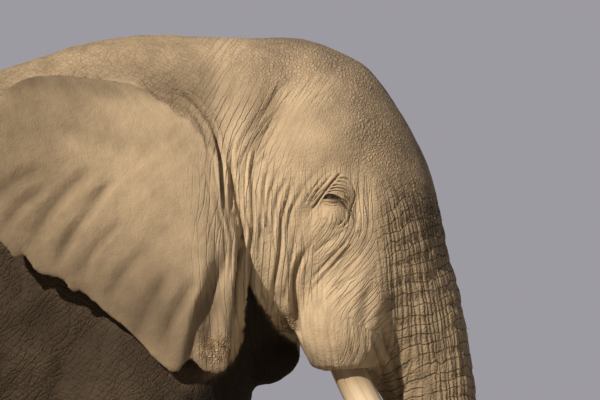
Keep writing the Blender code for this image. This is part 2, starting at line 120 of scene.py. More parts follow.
# A fold in front of the eye and down behind the sheath: the wrinkles below the eye run beside it.
UNDER_LINE = [(0.115, 0.20), (0.100, 0.10), (0.094, 0.02), (0.096, -0.045), (0.092, -0.105), (0.062, -0.165),
              (0.006, -0.230), (-0.050, -0.290), (-0.095, -0.360), (-0.115, -0.460)]

# The lower edge of the lit cheek, below which the throat is painted in shade.
THROAT_EDGE = ([-0.45, -0.335, -0.300, -0.285, -0.270, -0.210, -0.165, -0.120, -0.090],
               [-0.66, -0.560, -0.480, -0.290, -0.320, -0.420, -0.470, -0.500, -0.600])

# The ear's root and margin on the left side: forward of the eye, out from the middle plane, up.
EAR_ROOT = [(-0.800, 0.400), (-0.690, 0.400), (-0.560, 0.365), (-0.455, 0.285), (-0.395, 0.190),
            (-0.360, 0.080), (-0.335, -0.030), (-0.318, -0.110), (-0.318, -0.175)]
EAR_MARGIN = [(-0.815, 0.275, 0.408), (-0.870, 0.370, 0.414), (-0.950, 0.465, 0.412), (-1.045, 0.570, 0.390),
              (-1.115, 0.648, 0.325), (-1.178, 0.712, 0.210), (-1.205, 0.742, 0.060),
              (-1.172, 0.727, -0.075), (-1.085, 0.692, -0.185), (-1.060, 0.676, -0.215),
              (-1.030, 0.670, -0.205), (-0.985, 0.656, -0.262), (-0.905, 0.641, -0.285),
              (-0.875, 0.634, -0.325), (-0.850, 0.631, -0.322), (-0.815, 0.625, -0.345),
              (-0.755, 0.613, -0.400), (-0.700, 0.608, -0.440), (-0.640, 0.607, -0.500),
              (-0.590, 0.606, -0.555), (-0.530, 0.592, -0.598), (-0.490, 0.572, -0.560),
              (-0.470, 0.562, -0.555), (-0.430, 0.545, -0.592), (-0.372, 0.522, -0.596),
              (-0.345, 0.508, -0.555), (-0.338, 0.496, -0.450), (-0.332, 0.482, -0.330),
              (-0.322, 0.465, -0.250)]


# ---------------- mesh tools
def piece_of(name, mesh):
    piece = bpy.data.objects.new(name, mesh)
    bpy.context.scene.collection.objects.link(piece)
    return piece


def mesh_piece(name, verts, faces, material=None):
    mesh = bpy.data.meshes.new(name)
    mesh.from_pydata(np.asarray(verts).tolist(), [], [tuple(f) for f in faces])
    if material:
        mesh.materials.append(material)
    mesh.shade_smooth()
    return piece_of(name, mesh)


@contextmanager
def opened(mesh):
    """The mesh as a bmesh, written back at the end."""
    bm = bmesh.new()
    bm.from_mesh(mesh)
    yield bm
    bm.to_mesh(mesh)
    bm.free()


def joined(name, meshes):
    """One object made of several meshes, which go, with the objects that use them."""
    whole = bpy.data.meshes.new(name)
    with opened(whole) as bm:
        for mesh in meshes:
            bm.from_mesh(mesh)
            bpy.data.meshes.remove(mesh)
    return piece_of(name, whole)


def read(items, name, width=3, kind=float):
    """One value of every point, edge or corner, as rows of a given width."""
    flat = np.empty(len(items) * width, kind)
    items.foreach_get(name, flat)
    return flat.reshape(-1, width)


def points_of(piece):
    return read(piece.data.vertices, "co")


def normals_of(piece):
    return read(piece.data.vertex_normals, "vector")


def edges_of(piece):
    return read(piece.data.edges, "vertices", 2, int)


def move_points(piece, points):
    piece.data.vertices.foreach_set("co", np.asarray(points, float).ravel())
    piece.data.update()


def grid_faces(rows, cols, closed=True):
    """The quads of a grid of points, row after row, joined round where it is closed."""
    i, j = np.meshgrid(np.arange(rows - 1), np.arange(cols if closed else cols - 1), indexing="ij")
    here, after = i * cols + j, i * cols + (j + 1) % cols
    return np.stack([here, after, after + cols, here + cols], axis=-1).reshape(-1, 4)


def unit(rows):
    return rows / np.linalg.norm(rows, axis=-1, keepdims=True).clip(1e-6)


def neighbour_mean(values, edges, count):
    """The mean of its neighbours' values at each point."""
    return (np.bincount(edges[:, 0], values[edges[:, 1]], len(values))
            + np.bincount(edges[:, 1], values[edges[:, 0]], len(values))) / count


def relax(points, edges, rounds, give=0.5, back=-0.52, amount=1.0):
    """Each point moves towards the mean of its neighbours, then a little more than that away from it, so
    that facets go and the size stays."""
    count = np.bincount(edges.ravel(), minlength=len(points)).clip(1)
    amount = np.asarray(amount, float).reshape(-1, 1)
    for i in range(rounds * 2):
        mean = np.stack([neighbour_mean(points[:, k], edges, count) for k in range(3)], axis=1)
        points = points + (mean - points) * (back if i % 2 else give) * amount
    return points


def spread(values, edges, rounds):
    """A value at each point, averaged with its neighbours' a number of times."""
    count = np.bincount(edges.ravel(), minlength=len(values)).clip(1)
    for _ in range(rounds):
        values = 0.5 * values + 0.5 * neighbour_mean(values, edges, count)
    return values


def applied(piece, name, kind, **settings):
    """The piece with one modifier made part of its mesh."""
    modifier = piece.modifiers.new(name, kind)
    for key, value in settings.items():
        setattr(modifier, key, value)
    bpy.context.view_layer.update()
    graph = bpy.context.evaluated_depsgraph_get()
    mesh = bpy.data.meshes.new_from_object(piece.evaluated_get(graph))
    piece.modifiers.clear()
    old, piece.data = piece.data, mesh
    bpy.data.meshes.remove(old)
    return piece


def curve_through(points, count):
    """Evenly spaced points on a Catmull-Rom curve through the given ones."""
    rows = np.array(points, float)
    rows = np.vstack([2 * rows[0] - rows[1], rows, 2 * rows[-1] - rows[-2]])
    t = np.linspace(0, 1, 12, endpoint=False)[:, None]
    parts = []
    for p0, p1, p2, p3 in zip(rows, rows[1:], rows[2:], rows[3:]):
        parts.append(0.5 * (2 * p1 + (p2 - p0) * t + (2 * p0 - 5 * p1 + 4 * p2 - p3) * t ** 2
                            + (3 * p1 - p0 - 3 * p2 + p3) * t ** 3))
    fine = np.vstack(parts + [rows[-2:-1]])
    run = np.concatenate([[0], np.cumsum(np.linalg.norm(np.diff(fine, axis=0), axis=1))])
    where = np.linspace(0, run[-1], count)
    return np.stack([np.interp(where, run, fine[:, k]) for k in range(fine.shape[1])], axis=1)


def ease(low_end, high_end, value):
    """0 below low_end, 1 above high_end, and a smooth rise between."""
    t = np.clip((value - low_end) / (high_end - low_end), 0, 1)
    return t * t * (3 - 2 * t)


# ---------------- patterns
def combinations(values, dims):
    """Every way to choose one of the values in each dimension."""
    return np.array(np.meshgrid(*[values] * dims)).reshape(dims, -1).T


def hashed(cells, seed):
    """A steady pseudo-random number from 0 to 1 for each whole-number cell."""
    mixed = np.zeros(cells.shape[:-1])
    for k, factor in zip(range(cells.shape[-1]), (127.1, 311.7, 74.7)):
        mixed = mixed + cells[..., k] * factor
    return np.modf(np.abs(np.sin(mixed + seed * 37.3) * 43758.5453))[0]


def cracks(where, seed=0, jitter=0.9):
    """Distance to the border between jittered cells, in cells: 0 on a crack, about 0.5 at a cell's middle.
    It is half the gap between the nearest and the second nearest cell seed."""
    base = np.floor(where)
    dims = where.shape[1]
    first = np.full(len(where), 9.0)
    second = np.full(len(where), 9.0)
    for step in combinations((-1, 0, 1), dims):
        cell = base + step
        seed_at = np.stack([
            cell[:, k] + 0.5 + jitter * (hashed(cell, seed + k * 5.1) - 0.5) for k in range(dims)
        ], axis=1)
        away = np.linalg.norm(seed_at - where, axis=1)
        nearer = away < first
        second = np.where(nearer, first, np.minimum(second, away))
        first = np.where(nearer, away, first)
    return (second - first) / 2


def noise(where, seed=0):
    """Smooth value noise from 0 to 1: random numbers at whole-number corners, eased between."""
    base = np.floor(where)
    share = where - base
    share = share * share * (3 - 2 * share)
    total = np.zeros(len(where))
    for corner in combinations((0, 1), where.shape[1]):
        weight = np.prod(np.where(corner, share, 1 - share), axis=1)
        total += weight * hashed(base + corner, seed)
    return total


def along_line(flat, line):
    """For points in a plane: how far along a polyline the nearest place is, how far away it is, and on
    which side (+ to the left of its run)."""
    line = np.asarray(line, float)
    best = np.full(len(flat), 1e9)
    run = np.zeros(len(flat))
    side = np.ones(len(flat))
    start = 0.0
    for a, b in zip(line, line[1:]):
        d = b - a
        size = np.linalg.norm(d)
        t = np.clip(((flat - a) @ d) / size ** 2, 0, 1)
        off = flat - (a + t[:, None] * d)
        away = np.linalg.norm(off, axis=1)
        closer = away < best
        best = np.where(closer, away, best)
        run = np.where(closer, start + t * size, run)
        side = np.where(closer, np.sign(d[0] * off[:, 1] - d[1] * off[:, 0]), side)
        start += size
    return run, best, side, start


# ---------------- the body under the skin
def joined_flesh():
    """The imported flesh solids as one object, each swollen a little."""
    parts = []
    for name in FLESH_NODES:
        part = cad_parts[name].data.copy()
        with opened(part) as bm:
            bmesh.ops.remove_doubles(bm, verts=bm.verts, dist=1e-5)
            bm.normal_update()
            for vert in bm.verts:
                vert.co += vert.normal * GAP_CLOSER
        parts.append(part)
    return joined("flesh", parts)


def rounded_body():
    """The flesh as one surface with its facets relaxed away and its soles left flat."""
    body = applied(joined_flesh(), "fuse", "REMESH", mode="VOXEL", voxel_size=COARSE)
    keep_largest(body)
    points, edges = points_of(body), edges_of(body)
    points = relax(points, edges, 34, amount=1 - 0.5 * ease(0.25, 0.0, points[:, 2]))
    points = rounded_feet(points)
    points[:, 2] = np.maximum(points[:, 2], 0.0)
    move_points(body, points)
    return body


def foot_of(points, name):
    """Which points belong to the foot a nail stands on, the foot's middle, and their angle and distance
    round it."""
    low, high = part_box(name)
    x, y = (low.x + high.x) / 2, (low.y + high.y) / 2
    chosen = (points[:, 2] < 0.45) & (np.abs(points[:, 0] - x) < 0.55) & (points[:, 1] * y > 0)
    floor_ring = points[chosen & (points[:, 2] < 0.03)]
    middle = (floor_ring.min(axis=0) + floor_ring.max(axis=0))[:2] / 2
    chosen = np.flatnonzero(chosen & (np.hypot(points[:, 0] - middle[0], points[:, 1] - middle[1]) < 0.36))
    off = points[chosen, :2] - middle
    return chosen, middle, np.arctan2(off[:, 1], off[:, 0]), np.hypot(off[:, 0], off[:, 1])


def mean_reach(turn, height, turns, heights, reach, wide, tall):
    """How far a foot's side is from its middle at given angles and heights: the mean over its own points,
    weighted by a bell in angle and height."""
    apart = np.abs(turn[:, None] - turns[None])
    apart = np.minimum(apart, 2 * math.pi - apart) / wide
    weight = np.exp(-apart ** 2 - ((height[:, None] - heights[None]) / tall) ** 2) + 1e-12
    return (weight @ reach) / weight.sum(axis=1)


def rounded_feet(points):
    """The facets round each foot averaged away along circles about its middle."""
    points = points.copy()
    for name in NAIL_NODES:
        if not name.endswith("_1"):
            continue
        chosen, middle, turns, reach = foot_of(points, name)
        z = points[chosen, 2]
        wall = np.flatnonzero((reach > FOOT_WALL) & (z > 0.004))
        made = mean_reach(turns[wall], z[wall], turns[wall], z[wall], reach[wall], 0.30, 0.016)
        share = ease(0.45, 0.30, z[wall])
        scale = 1 + (made / reach[wall] - 1) * share
        points[chosen[wall], :2] = middle + (points[chosen[wall], :2] - middle) * scale[:, None]
    return points


def keep_largest(piece):
    """Leaves only the connected surface with the most points."""
    with opened(piece.data) as bm:
        left, best = set(bm.verts), []
        while left:
            stack = [left.pop()]
            group = list(stack)
            while stack:
                for edge in stack.pop().link_edges:
                    for vert in left.intersection(edge.verts):
                        left.discard(vert)
                        group.append(vert)
                        stack.append(vert)
            if len(group) > len(best):
                best = group
        keep = set(best)
        bmesh.ops.delete(bm, geom=[v for v in bm.verts if v not in keep], context="VERTS")


def flank(tree, x, z):
    """How far out the body reaches on the left at a place seen from the side."""
    hit = tree.ray_cast(Vector((x, 2.0, z)), Vector((0, -1, 0)))[0]
    return hit.y if hit else 0.3


def ear(tree, side):
    """A closed sheet from the ear's root in the flesh to its margin. Its middle bellies out, its rim rolls
    slightly, and its thickness falls from root to rim. Returns it with the points that stand free."""
    along, across = 180, 46
    root = [(EYE[0] + x, flank(tree, EYE[0] + x, EYE[2] + z) - EAR_SUNK - 0.050 * float(ease(0.22, 0.38, z)),
             EYE[2] + z) for x, z in EAR_ROOT]
    margin = [(EYE[0] + x, y + 0.014 * float(ease(-0.80, -0.95, x)), EYE[2] + z) for x, y, z in EAR_MARGIN]
    root, margin = curve_through(root, along), curve_through(margin, along)
    share = np.linspace(0, 1, across)[None, :]
    turn = np.linspace(0, 1, along)[:, None]
    middle = root[:, None] * (1 - share[..., None]) + margin[:, None] * share[..., None]
    middle[..., 1] += 0.070 * np.sin(math.pi * share ** 0.8) * np.sin(math.pi * turn) ** 0.5
    half = (0.034 + 0.016 * ease(0.35, 0.0, turn) - 0.017 * share) / 2
    half = np.maximum(half * np.sqrt(1 - np.clip((share - 0.955) / 0.05, 0, 1) ** 2), 0.0045)
    outer, inner = middle.copy(), middle.copy()
    outer[..., 1] += half
    inner[..., 1] -= half
    grid = np.concatenate([outer, inner[:, ::-1]], axis=1) * (1, side, 1)
    rows, cols = grid.shape[:2]
    ends = [range(cols)[::-1], range((rows - 1) * cols, rows * cols)]
    piece = mesh_piece("ear", grid.reshape(-1, 3), [*grid_faces(rows, cols), *ends])
    with opened(piece.data) as bm:
        bmesh.ops.recalc_face_normals(bm, faces=bm.faces)
    surface = root[:, 1] + EAR_SUNK + 0.050 * ease(0.22, 0.38, root[:, 2] - EYE[2])
    free = (middle[..., 1] - surface[:, None] > 0.030) & (share > 0.08)
    return piece, np.vstack([outer[free], inner[free]]) * (1, side, 1)


def bare_skin():
    """Body and ears fused on the fine grid and relaxed just enough to lose its steps."""
    body = rounded_body()
    tree = BVHTree.FromObject(body, bpy.context.evaluated_depsgraph_get())
    ears, free_points = zip(ear(tree, 1), ear(tree, -1))
    ear_cells = cells_of(np.vstack(free_points), spread_out=True)
    skin = joined("skin", [piece.data for piece in (body, *ears)])
    applied(skin, "fuse", "REMESH", mode="VOXEL", voxel_size=FINE)
    keep_largest(skin)
    points, edges = points_of(skin), edges_of(skin)
    points = relax(points, edges, 5)
    top = mound(points[:, [0, 2]] - EYE[[0, 2]], (-0.72, 0.40), (0.15, 0.05))
    points = relax(points, edges, 16, amount=ease(0.1, 0.6, top))
    points[:, 2] = np.maximum(points[:, 2], 0.0)
    move_points(skin, points)
    put(skin, "ear_share", np.isin(cells_of(points), ear_cells).astype(float))
    return skin


def cells_of(points, spread_out=False):
    """A whole number for the cube of space that each point lies in, and, spread out, for those round it."""
    cells = np.floor(points / EAR_CELL).astype(np.int64)
    if spread_out:
        cells = (np.unique(cells, axis=0)[:, None] + combinations((-1, 0, 1), 3)[None]).reshape(-1, 3)
    return (cells + 1000) @ np.array([1, 4000, 16000000])


def on_cheek(u, w):
    return (u > -0.40) & (u < 0.16) & (w > -0.62) & (w < 0.42)


def near_eye(u, w, reach):
    return np.hypot(u - 0.01, w) < reach


def refined_near_eyes(skin):
    """Smaller faces on the sides of the face and, in steps, round each eye, so that lids and folds have
    room."""
    for reach in (None, *EYE_REACHES):
        middle = points_of(skin)[edges_of(skin)].mean(axis=1)
        u, w = middle[:, 0] - EYE[0], middle[:, 2] - EYE[2]
        there = near_eye(u, w, reach) if reach else on_cheek(u, w)
        chosen = np.flatnonzero(there & (np.abs(middle[:, 1]) > 0.17))
        with opened(skin.data) as bm:
            bm.edges.ensure_lookup_table()
            bmesh.ops.subdivide_edges(bm, edges=[bm.edges[i] for i in chosen], cuts=1, use_grid_fill=True)


# ---------------- folds and broad forms
# Each fold: depth and half width in millimetres, how high the lip beside it stands, and its line in
# centimetres forward of and above the eye.
FACE_FOLDS = [
    # the ear's root and the deep fold of the jowl
    (14, 7, 4, [(-34, 22), (-34.4, 10), (-32.5, -1), (-30.5, -9), (-30.5, -15), (-32.3, -22),
     (-33.2, -32), (-33, -46)]),
    (11, 6.5, 4, [(-21.0, 26.5), (-24.6, 20.0), (-26.5, 13.7), (-27.3, 7), (-26.6, -4), (-27, -12),
     (-28, -20), (-27.6, -33), (-26, -44)]),
    # temple
    (4, 5, 1, [(-15.5, 37), (-19.5, 29.5), (-22.8, 22.5), (-25.6, 13)]),
    (5, 5, 2, [(-21, 30), (-24, 24.5), (-29, 16.8), (-31.7, 11.6), (-33.6, 6.9)]),
    (5, 6, 2, [(-16.5, 43), (-19.5, 36.7), (-25, 27), (-29, 20)]),
    (4, 6, 1, [(-14.5, 44), (-17.4, 38), (-22.4, 28.5)]),
    (4, 6, 1, [(-24, 31), (-29.4, 22.5), (-33, 14)]),
    (5, 5, 2, [(-17, 31), (-20, 27), (-27, 18), (-29.7, 10.6), (-29.8, 1)]),
    (3.5, 5, 1.5, [(-13, 40), (-16.5, 32), (-19, 26)]),
    (5, 5, 1, [(-21, 16.5), (-25.5, 10), (-25.4, 0), (-24.6, -8)]),
    # cheek
    (6, 5, 2, [(-21.5, 12), (-23, 5), (-23.4, -3), (-24.4, -14), (-25, -24)]),
    (6, 5, 2, [(-17.6, 8.5), (-20.2, 4.3), (-21.8, -3), (-22, -12)]),
    (7, 5, 2, [(-15, 7), (-17.6, 2.2), (-19.2, -3), (-20.2, -13)]),
    (10, 6, 4, [(-12.4, 7), (-15, 0), (-17, -7.8), (-17.3, -14), (-18, -21), (-19.4, -28), (-20.6, -36)]),
    (6, 5, 2, [(-9.8, 4), (-12, -1), (-14, -5), (-15, -12)]),
    (6, 6, 2, [(-12.4, -11), (-13.4, -18), (-15, -28), (-16.4, -36)]),
    # behind the tusk's sheath
    (22, 10, 6, [(-7.6, -17), (-10.6, -21), (-12.6, -27), (-12.4, -36), (-11.4, -46), (-10.6, -53)]),
    # brow and pouch
    (3, 3, 1, [(-5, 9.5), (-8.5, 5), (-11, 0)]),
    (2.5, 2.5, 1, [(-6, -5.8), (-7, -9.6), (-7.8, -12)]),
    (2.5, 2.5, 1, [(-3.9, -6.6), (-3, -9), (-2.6, -12)]),
    (2.5, 2.5, 1, [(-5, -6), (-4.4, -9)]),
    # below the eye
    (4.5, 5, 2.5, [(9.4, -4.5), (10, -10), (6.5, -16), (0.6, -23), (-3.8, -28), (-9, -34)]),
    (3.5, 5, 2, [(8.4, -8), (7.4, -12.6), (3, -17), (-2.7, -23), (-8, -29.6)]),
    (3.5, 4.5, 1.5, [(4.6, -10.6), (1, -13.6), (-4, -17), (-8, -20)]),
    (4, 4.5, 1.5, [(12, -9), (12.4, -14), (9, -20), (3, -27), (-2, -33)]),
    (3.5, 4, 1.5, [(8, -23), (3, -29), (-2, -36)]),
    # beside the trunk
    (14, 9, 4, [(17.6, -42), (19, -49), (21.5, -57), (23, -64), (23.6, -72)]),
    (7, 6, 2, [(14, -48), (17, -56), (18, -64)]),
    # sheath
    (3, 6, 1, [(-6, -32), (-7, -42), (-5.5, -52)]),
    (3, 6, 1, [(0, -36), (-1, -46), (0.5, -55)]),
    (3.5, 6, 1, [(6, -38), (6.4, -48), (8, -57)]),
    (3.5, 6, 1, [(11, -40), (12, -50), (13, -57)]),
]

# The edge of the ear's cartilage, above and behind the neck.
ROOT_FOLDS = [
    (13, 6.5, 8, [(-59, 38), (-53.5, 37), (-47.6, 33.4), (-43.5, 28.8), (-40.4, 23.6), (-38.8, 18),
     (-37.8, 11), (-37.2, 2), (-36.4, -6)]),
    (4, 5, 2, [(-55, 33.6), (-49.5, 30.8), (-45.6, 26), (-43, 20), (-41.4, 11)]),
]

# Close round the eye: the lids' arcs, the ring in front of them, and the pouch below.
LID_FOLDS = [
    # brow
    (8.5, 3.6, 3, [(3.6, 8.8), (1.3, 6.7), (-0.6, 4.5), (-2.4, 1.9), (-3.9, -0.4), (-5.4, -2.7),
     (-6.9, -4.5)]),
    (4, 2.6, 1.5, [(-0.4, 7.6), (-2.8, 4.7), (-5.7, 1.2), (-7.2, -2)]),
    (3.5, 2.6, 1.5, [(-3, 7.3), (-5.9, 3.7), (-8.6, -0.6), (-10, -3)]),
    (3, 2.4, 1, [(-2.6, 2.6), (-4.8, 0.6), (-6.9, -2.2)]),
    # ring in front of the lids
    (5.5, 2.6, 1.6, [(-0.6, 4.6), (1.2, 6.2), (3.4, 6.8), (5.6, 6.4), (7.0, 4.8), (7.9, 2.9),
     (8.3, 0.9), (7.9, -1.2), (7.0, -3.2), (7.4, -5.4), (8.6, -7.4)]),
    # upper lid
    (3.2, 2.1, 1.3, [(-0.4, 5.0), (2.4, 5.6), (5.1, 5.0), (6.3, 3.8)]),
    (3.4, 2.1, 1.4, [(-1.2, 3.7), (1.7, 4.3), (4.5, 3.8), (5.8, 2.7)]),
    (3.4, 2.1, 1.4, [(-1.9, 2.5), (1.1, 3.3), (4.2, 2.8), (5.5, 1.6)]),
    (2.8, 1.8, 1.1, [(-2.4, 1.5), (0.5, 2.35), (3.6, 1.9), (5.1, 0.7)]),
    # lower lid
    (1.8, 1.6, 0.8, [(-2.4, -1.3), (0.2, -1.7), (2.4, -1.5)]),
    (1.8, 1.8, 0.8, [(-2.2, -2.5), (0, -2.9), (1.8, -2.7)]),
    # front corner
    (4, 2.2, 1, [(3.0, -0.3), (4.9, -1.4), (6.6, -3.4), (7.0, -4.4)]),
    (3.5, 2.0, 1, [(4.2, 0.6), (5.8, -0.4), (7.3, -2.0)]),
    (3, 2.0, 1, [(2.8, -1.2), (4.4, -2.4), (5.4, -3.8)]),
    # pouch
    (3.5, 2.6, 1.2, [(4.3, -4.0), (4.5, -6.1), (3.3, -8.4), (1.6, -9.6)]),
    (5, 3, 2, [(6.5, -4.3), (6.1, -7.0), (4.6, -9.2), (2.4, -10.6)]),
]

EAR_FOLDS = [
    # in front of the ear's root
    (4, 5, 2, [(-39.4, 4), (-38.4, -5), (-36.4, -12), (-36, -20), (-37, -30)]),
    (4, 5, 2, [(-36.6, 4), (-35.4, -8), (-33.6, -14), (-34.2, -22), (-35.6, -34)]),
    (3, 5, 1, [(-42, 3), (-41, -8), (-39, -18), (-40, -26)]),
    # recess above the lobe
    (30, 27, 8, [(-36.6, -19), (-39.3, -30), (-41, -40), (-42, -54)]),
    (14, 16, 5, [(-39, -27), (-43.5, -37), (-46.5, -47), (-48.5, -57)]),
    # the sheet's own folds
    (9, 21, 3, [(-100, -15), (-94, -5), (-86, 4), (-80, 9)]),
    (9, 17, 3, [(-93, -25), (-87, -13), (-79, -2), (-74, 5)]),
    (6, 15, 2, [(-85, -27), (-79, -17), (-70, -8)]),
    (7, 22, 3, [(-66, -49), (-62, -38), (-54, -25)]),
    (7, 18, 3, [(-57, -50), (-53, -40), (-45, -27)]),
    (6, 20, 2, [(-115, -3), (-108, 3), (-97, 10)]),
    (6, 16, 2, [(-110, -12), (-104, -4), (-95, 3)]),
    (6, 20, 2, [(-76, -36), (-70, -26), (-61, -16)]),
    (4, 40, 0, [(-62, 16), (-84, 22), (-106, 22)]),
    # rim
    (4, 14, 3, [(-108, 30), (-115, 18), (-117, 2), (-113, -8), (-104, -18)]),
]

# On the outer side of the body.
BODY_FOLDS = [
    # elbow
    (18, 26, 7, [(-101, -100), (-101, -116), (-97, -131), (-90, -141)]),
    (11, 20, 5, [(-109, -108), (-108, -122), (-102, -136)]),
    (8, 18, 4, [(-116, -112), (-115, -124), (-110, -134)]),
    # shoulder
    (10, 45, 3, [(-84, -46), (-93, -74), (-98, -96), (-101, -112)]),
    (9, 38, 3, [(-54, -68), (-51, -90), (-50, -112), (-53, -130)]),
    # flank
    (19, 32, 7, [(-194, -78), (-196, -98), (-200, -118), (-207, -136)]),
    (11, 24, 4, [(-185, -88), (-186, -106), (-191, -124)]),
    (8, 22, 3, [(-177, -98), (-178, -112), (-182, -124)]),
    # belly
    (8, 40, 0, [(-116, -122), (-140, -128), (-170, -126), (-186, -120)]),
    # thigh
    (9, 45, 3, [(-264, -50), (-258, -84), (-253, -116), (-250, -146)]),
    # knee
    (8, 18, 4, [(-203, -146), (-214, -153), (-227, -155)]),
    (7, 16, 4, [(-203, -155), (-214, -162), (-226, -164)]),
    (6, 16, 3, [(-204, -164), (-213, -170), (-224, -172)]),
    # wrist
    (8, 15, 4, [(-48, -184), (-60, -189), (-74, -190)]),
    (8, 15, 4, [(-49, -192), (-61, -197), (-76, -198)]),
    (7, 15, 4, [(-50, -200), (-61, -205), (-76, -206)]),
    # heels
    (7, 15, 3, [(-96, -228), (-86, -233), (-74, -234)]),
    (7, 15, 3, [(-247, -226), (-238, -232), (-226, -233)]),
]

# Broad forms: how high each stands in metres, its centre forward of and above the eye, its reach both ways
# and how it leans. On the body: shoulder, hip bone, thigh, and the hollows before the hip, behind the thigh
# and behind the shoulder.
HEAD_FORMS = [
    (-0.040, (-0.185, 0.31), (0.062, 0.145), -0.32), (0.016, (-0.03, 0.20), (0.10, 0.085)),
    (-0.010, (0.10, 0.10), (0.05, 0.10)), (0.012, (0.003, -0.060), (0.040, 0.040)),
    (0.012, (0.028, 0.028), (0.052, 0.032)), (-0.014, (-0.060, -0.035), (0.035, 0.06), -0.6),
    (-0.010, (0.085, -0.03), (0.020, 0.05)), (0.012, (-0.02, -0.42), (0.09, 0.12)),
    (-0.009, (-0.20, -0.32), (0.05, 0.12)), (-0.012, (0.13, -0.34), (0.03, 0.14), -0.25),
]
BODY_FORMS = [
    (0.024, (-0.74, -0.78), (0.16, 0.42)), (0.024, (-2.36, 0.10), (0.12, 0.10)),
    (0.024, (-2.30, -0.86), (0.20, 0.36)), (-0.028, (-2.03, 0.02), (0.17, 0.16)),
    (-0.014, (-2.62, -0.50), (0.12, 0.30)), (-0.014, (-1.12, -0.55), (0.12, 0.40)),
]
RIB_SPACING = 0.118


def smooth_line(line, count=None):
    line = np.asarray(line, float) * CM
    return curve_through(line, count or 3 * len(line)) if len(line) > 2 else line


def folded(flat, folds, narrowest=0.0, darkest=0.006):
    """Height and crease depth at each point of a plane from named folds: each is a groove whose section
    is a bell, with a rounded lip on both sides, and it fades at its ends."""
    height, crease = np.zeros(len(flat)), np.zeros(len(flat))
    for depth, width, lip, line in folds:
        depth, width, lip = depth / 1000, max(width / 1000, narrowest), lip / 1000
        line = smooth_line(line)
        low, high = line.min(axis=0) - 4 * width, line.max(axis=0) + 4 * width
        near = np.flatnonzero(((flat > low) & (flat < high)).all(axis=1))
        run, away, _, total = along_line(flat[near], line)
        fade = ease(-0.02, 0.24 * total, run) * ease(total + 0.01, 0.80 * total, run)
        groove = np.exp(-(away / width) ** 2) * fade
        height[near] += lip * np.exp(-((away - 2 * width) / (1.1 * width)) ** 2) * fade - depth * groove
        crease[near] = np.maximum(crease[near], groove * min(1.0, depth / darkest))
    return height, crease


def mound(flat, centre, size, lean=0.0):
    """A bell-shaped rise: 1 at its centre and 0 far away, stretched by size and leaning by an angle."""
    off = flat - np.asarray(centre)
    c, s = math.cos(lean), math.sin(lean)
    a = (off[:, 0] * c + off[:, 1] * s) / size[0]
    b = (-off[:, 0] * s + off[:, 1] * c) / size[1]
    return np.exp(-(a * a + b * b))


def mounds(flat, forms):
    return sum(rise * mound(flat, *form) for rise, *form in forms)


# ---------------- skin
def look_over(skin):
    """The skin's points and what is asked about each: its place forward of the eye (u) and above it (w), how
    far out it lies (y), its side, how squarely it faces sideways and away from the middle plane, and where it
    lies along the trunk's middle line (run) and ahead of that."""
    points, normals = points_of(skin), normals_of(skin)
    flat = points[:, [0, 2]] - EYE[[0, 2]]
    run, away, side, length = along_line(flat, curve_through(TRUNK_LINE, 60))
    sign = np.sign(points[:, 1])
    return SimpleNamespace(points=points, normals=normals, edges=edges_of(skin), flat=flat, u=flat[:, 0],
                           w=flat[:, 1], y=np.abs(points[:, 1]), sign=sign, facing=np.abs(normals[:, 1]),
                           outwards=normals[:, 1] * sign, run=run, ahead=away * side, length=length)


def find_regions(skin, at):
    """Adds what the skin is at each point, 1 inside a region and 0 outside, with a soft border."""
    u, w = at.u, at.w
    ear_share = read(skin.data.attributes["ear_share"].data, "value", 1).ravel()
    at.is_ear = ease(0.35, 0.75, spread(ear_share, at.edges, 8))
    shift = 0.30 * np.clip(w + 0.30, -0.12, 0) * ease(-0.66, -0.44, w)
    on_trunk = ease(0.13, 0.21, u + shift) * ease(0.14, -0.08, w)
    at.on_trunk = np.where(w < -0.66, ease(0.10, 0.16, u), on_trunk)
    at.on_face = ease(-0.52, -0.36, u) * (1 - at.on_trunk) * ease(-0.85, -0.60, w)
    at.on_body = ease(-0.40, -0.62, u) * (1 - at.is_ear)
    at.on_leg = ease(-1.15, -1.45, w) * (1 - at.on_trunk)
    at.outside = ease(0.1, 0.5, at.outwards) * ease(-0.46, -0.62, u) * (1 - at.is_ear)
    crown = ease(0.10, 0.26, w + 0.9 * np.maximum(u, 0)) * ease(-0.9, -0.5, u) * (1 - at.is_ear)
    crown *= 1 - 0.85 * mound(at.flat, (-0.03, 0.19), (0.13, 0.10))
    crown *= 0.30 + 0.70 * ease(-0.40, -0.20, u)

    # Wrinkle lines, less on brow, sheath and lids; those below the eye follow a line of their own.
    uneven = 0.45 + 0.55 * ease(-0.22, 0.12, noise(at.points * 6.0, 21) - 0.5)
    bare = 1 - 0.95 * mound(at.flat, (-0.03, 0.19), (0.115, 0.085))
    bare *= 1 - 0.75 * mound(at.flat, (0.00, -0.46), (0.12, 0.13))
    bare *= 1 - 0.97 * ease(0.25, 0.75, mound(at.flat, (0.018, 0.008), (0.082, 0.080)))
    behind = ease(-0.02, -0.14, u - 0.35 * np.maximum(w - 0.10, 0))
    lined = at.on_face * (1 - at.is_ear) * uneven * bare * (behind + (1 - behind) * ease(0.16, 0.04, w))
    at.crown = crown * (1 - 0.7 * behind * ease(-0.42, -0.34, u) * ease(0.47, 0.36, w))
    lined *= 1 - 0.9 * at.crown
    under = ease(-0.105, -0.045, u + 0.25 * (w + 0.10)) * ease(0.20, 0.08, w)
    at.under_share = lined * under
    at.line_share = np.maximum(lined * (1 - under),
                               0.6 * at.is_ear * ease(-0.52, -0.40, u) * ease(0.22, 0.05, w))


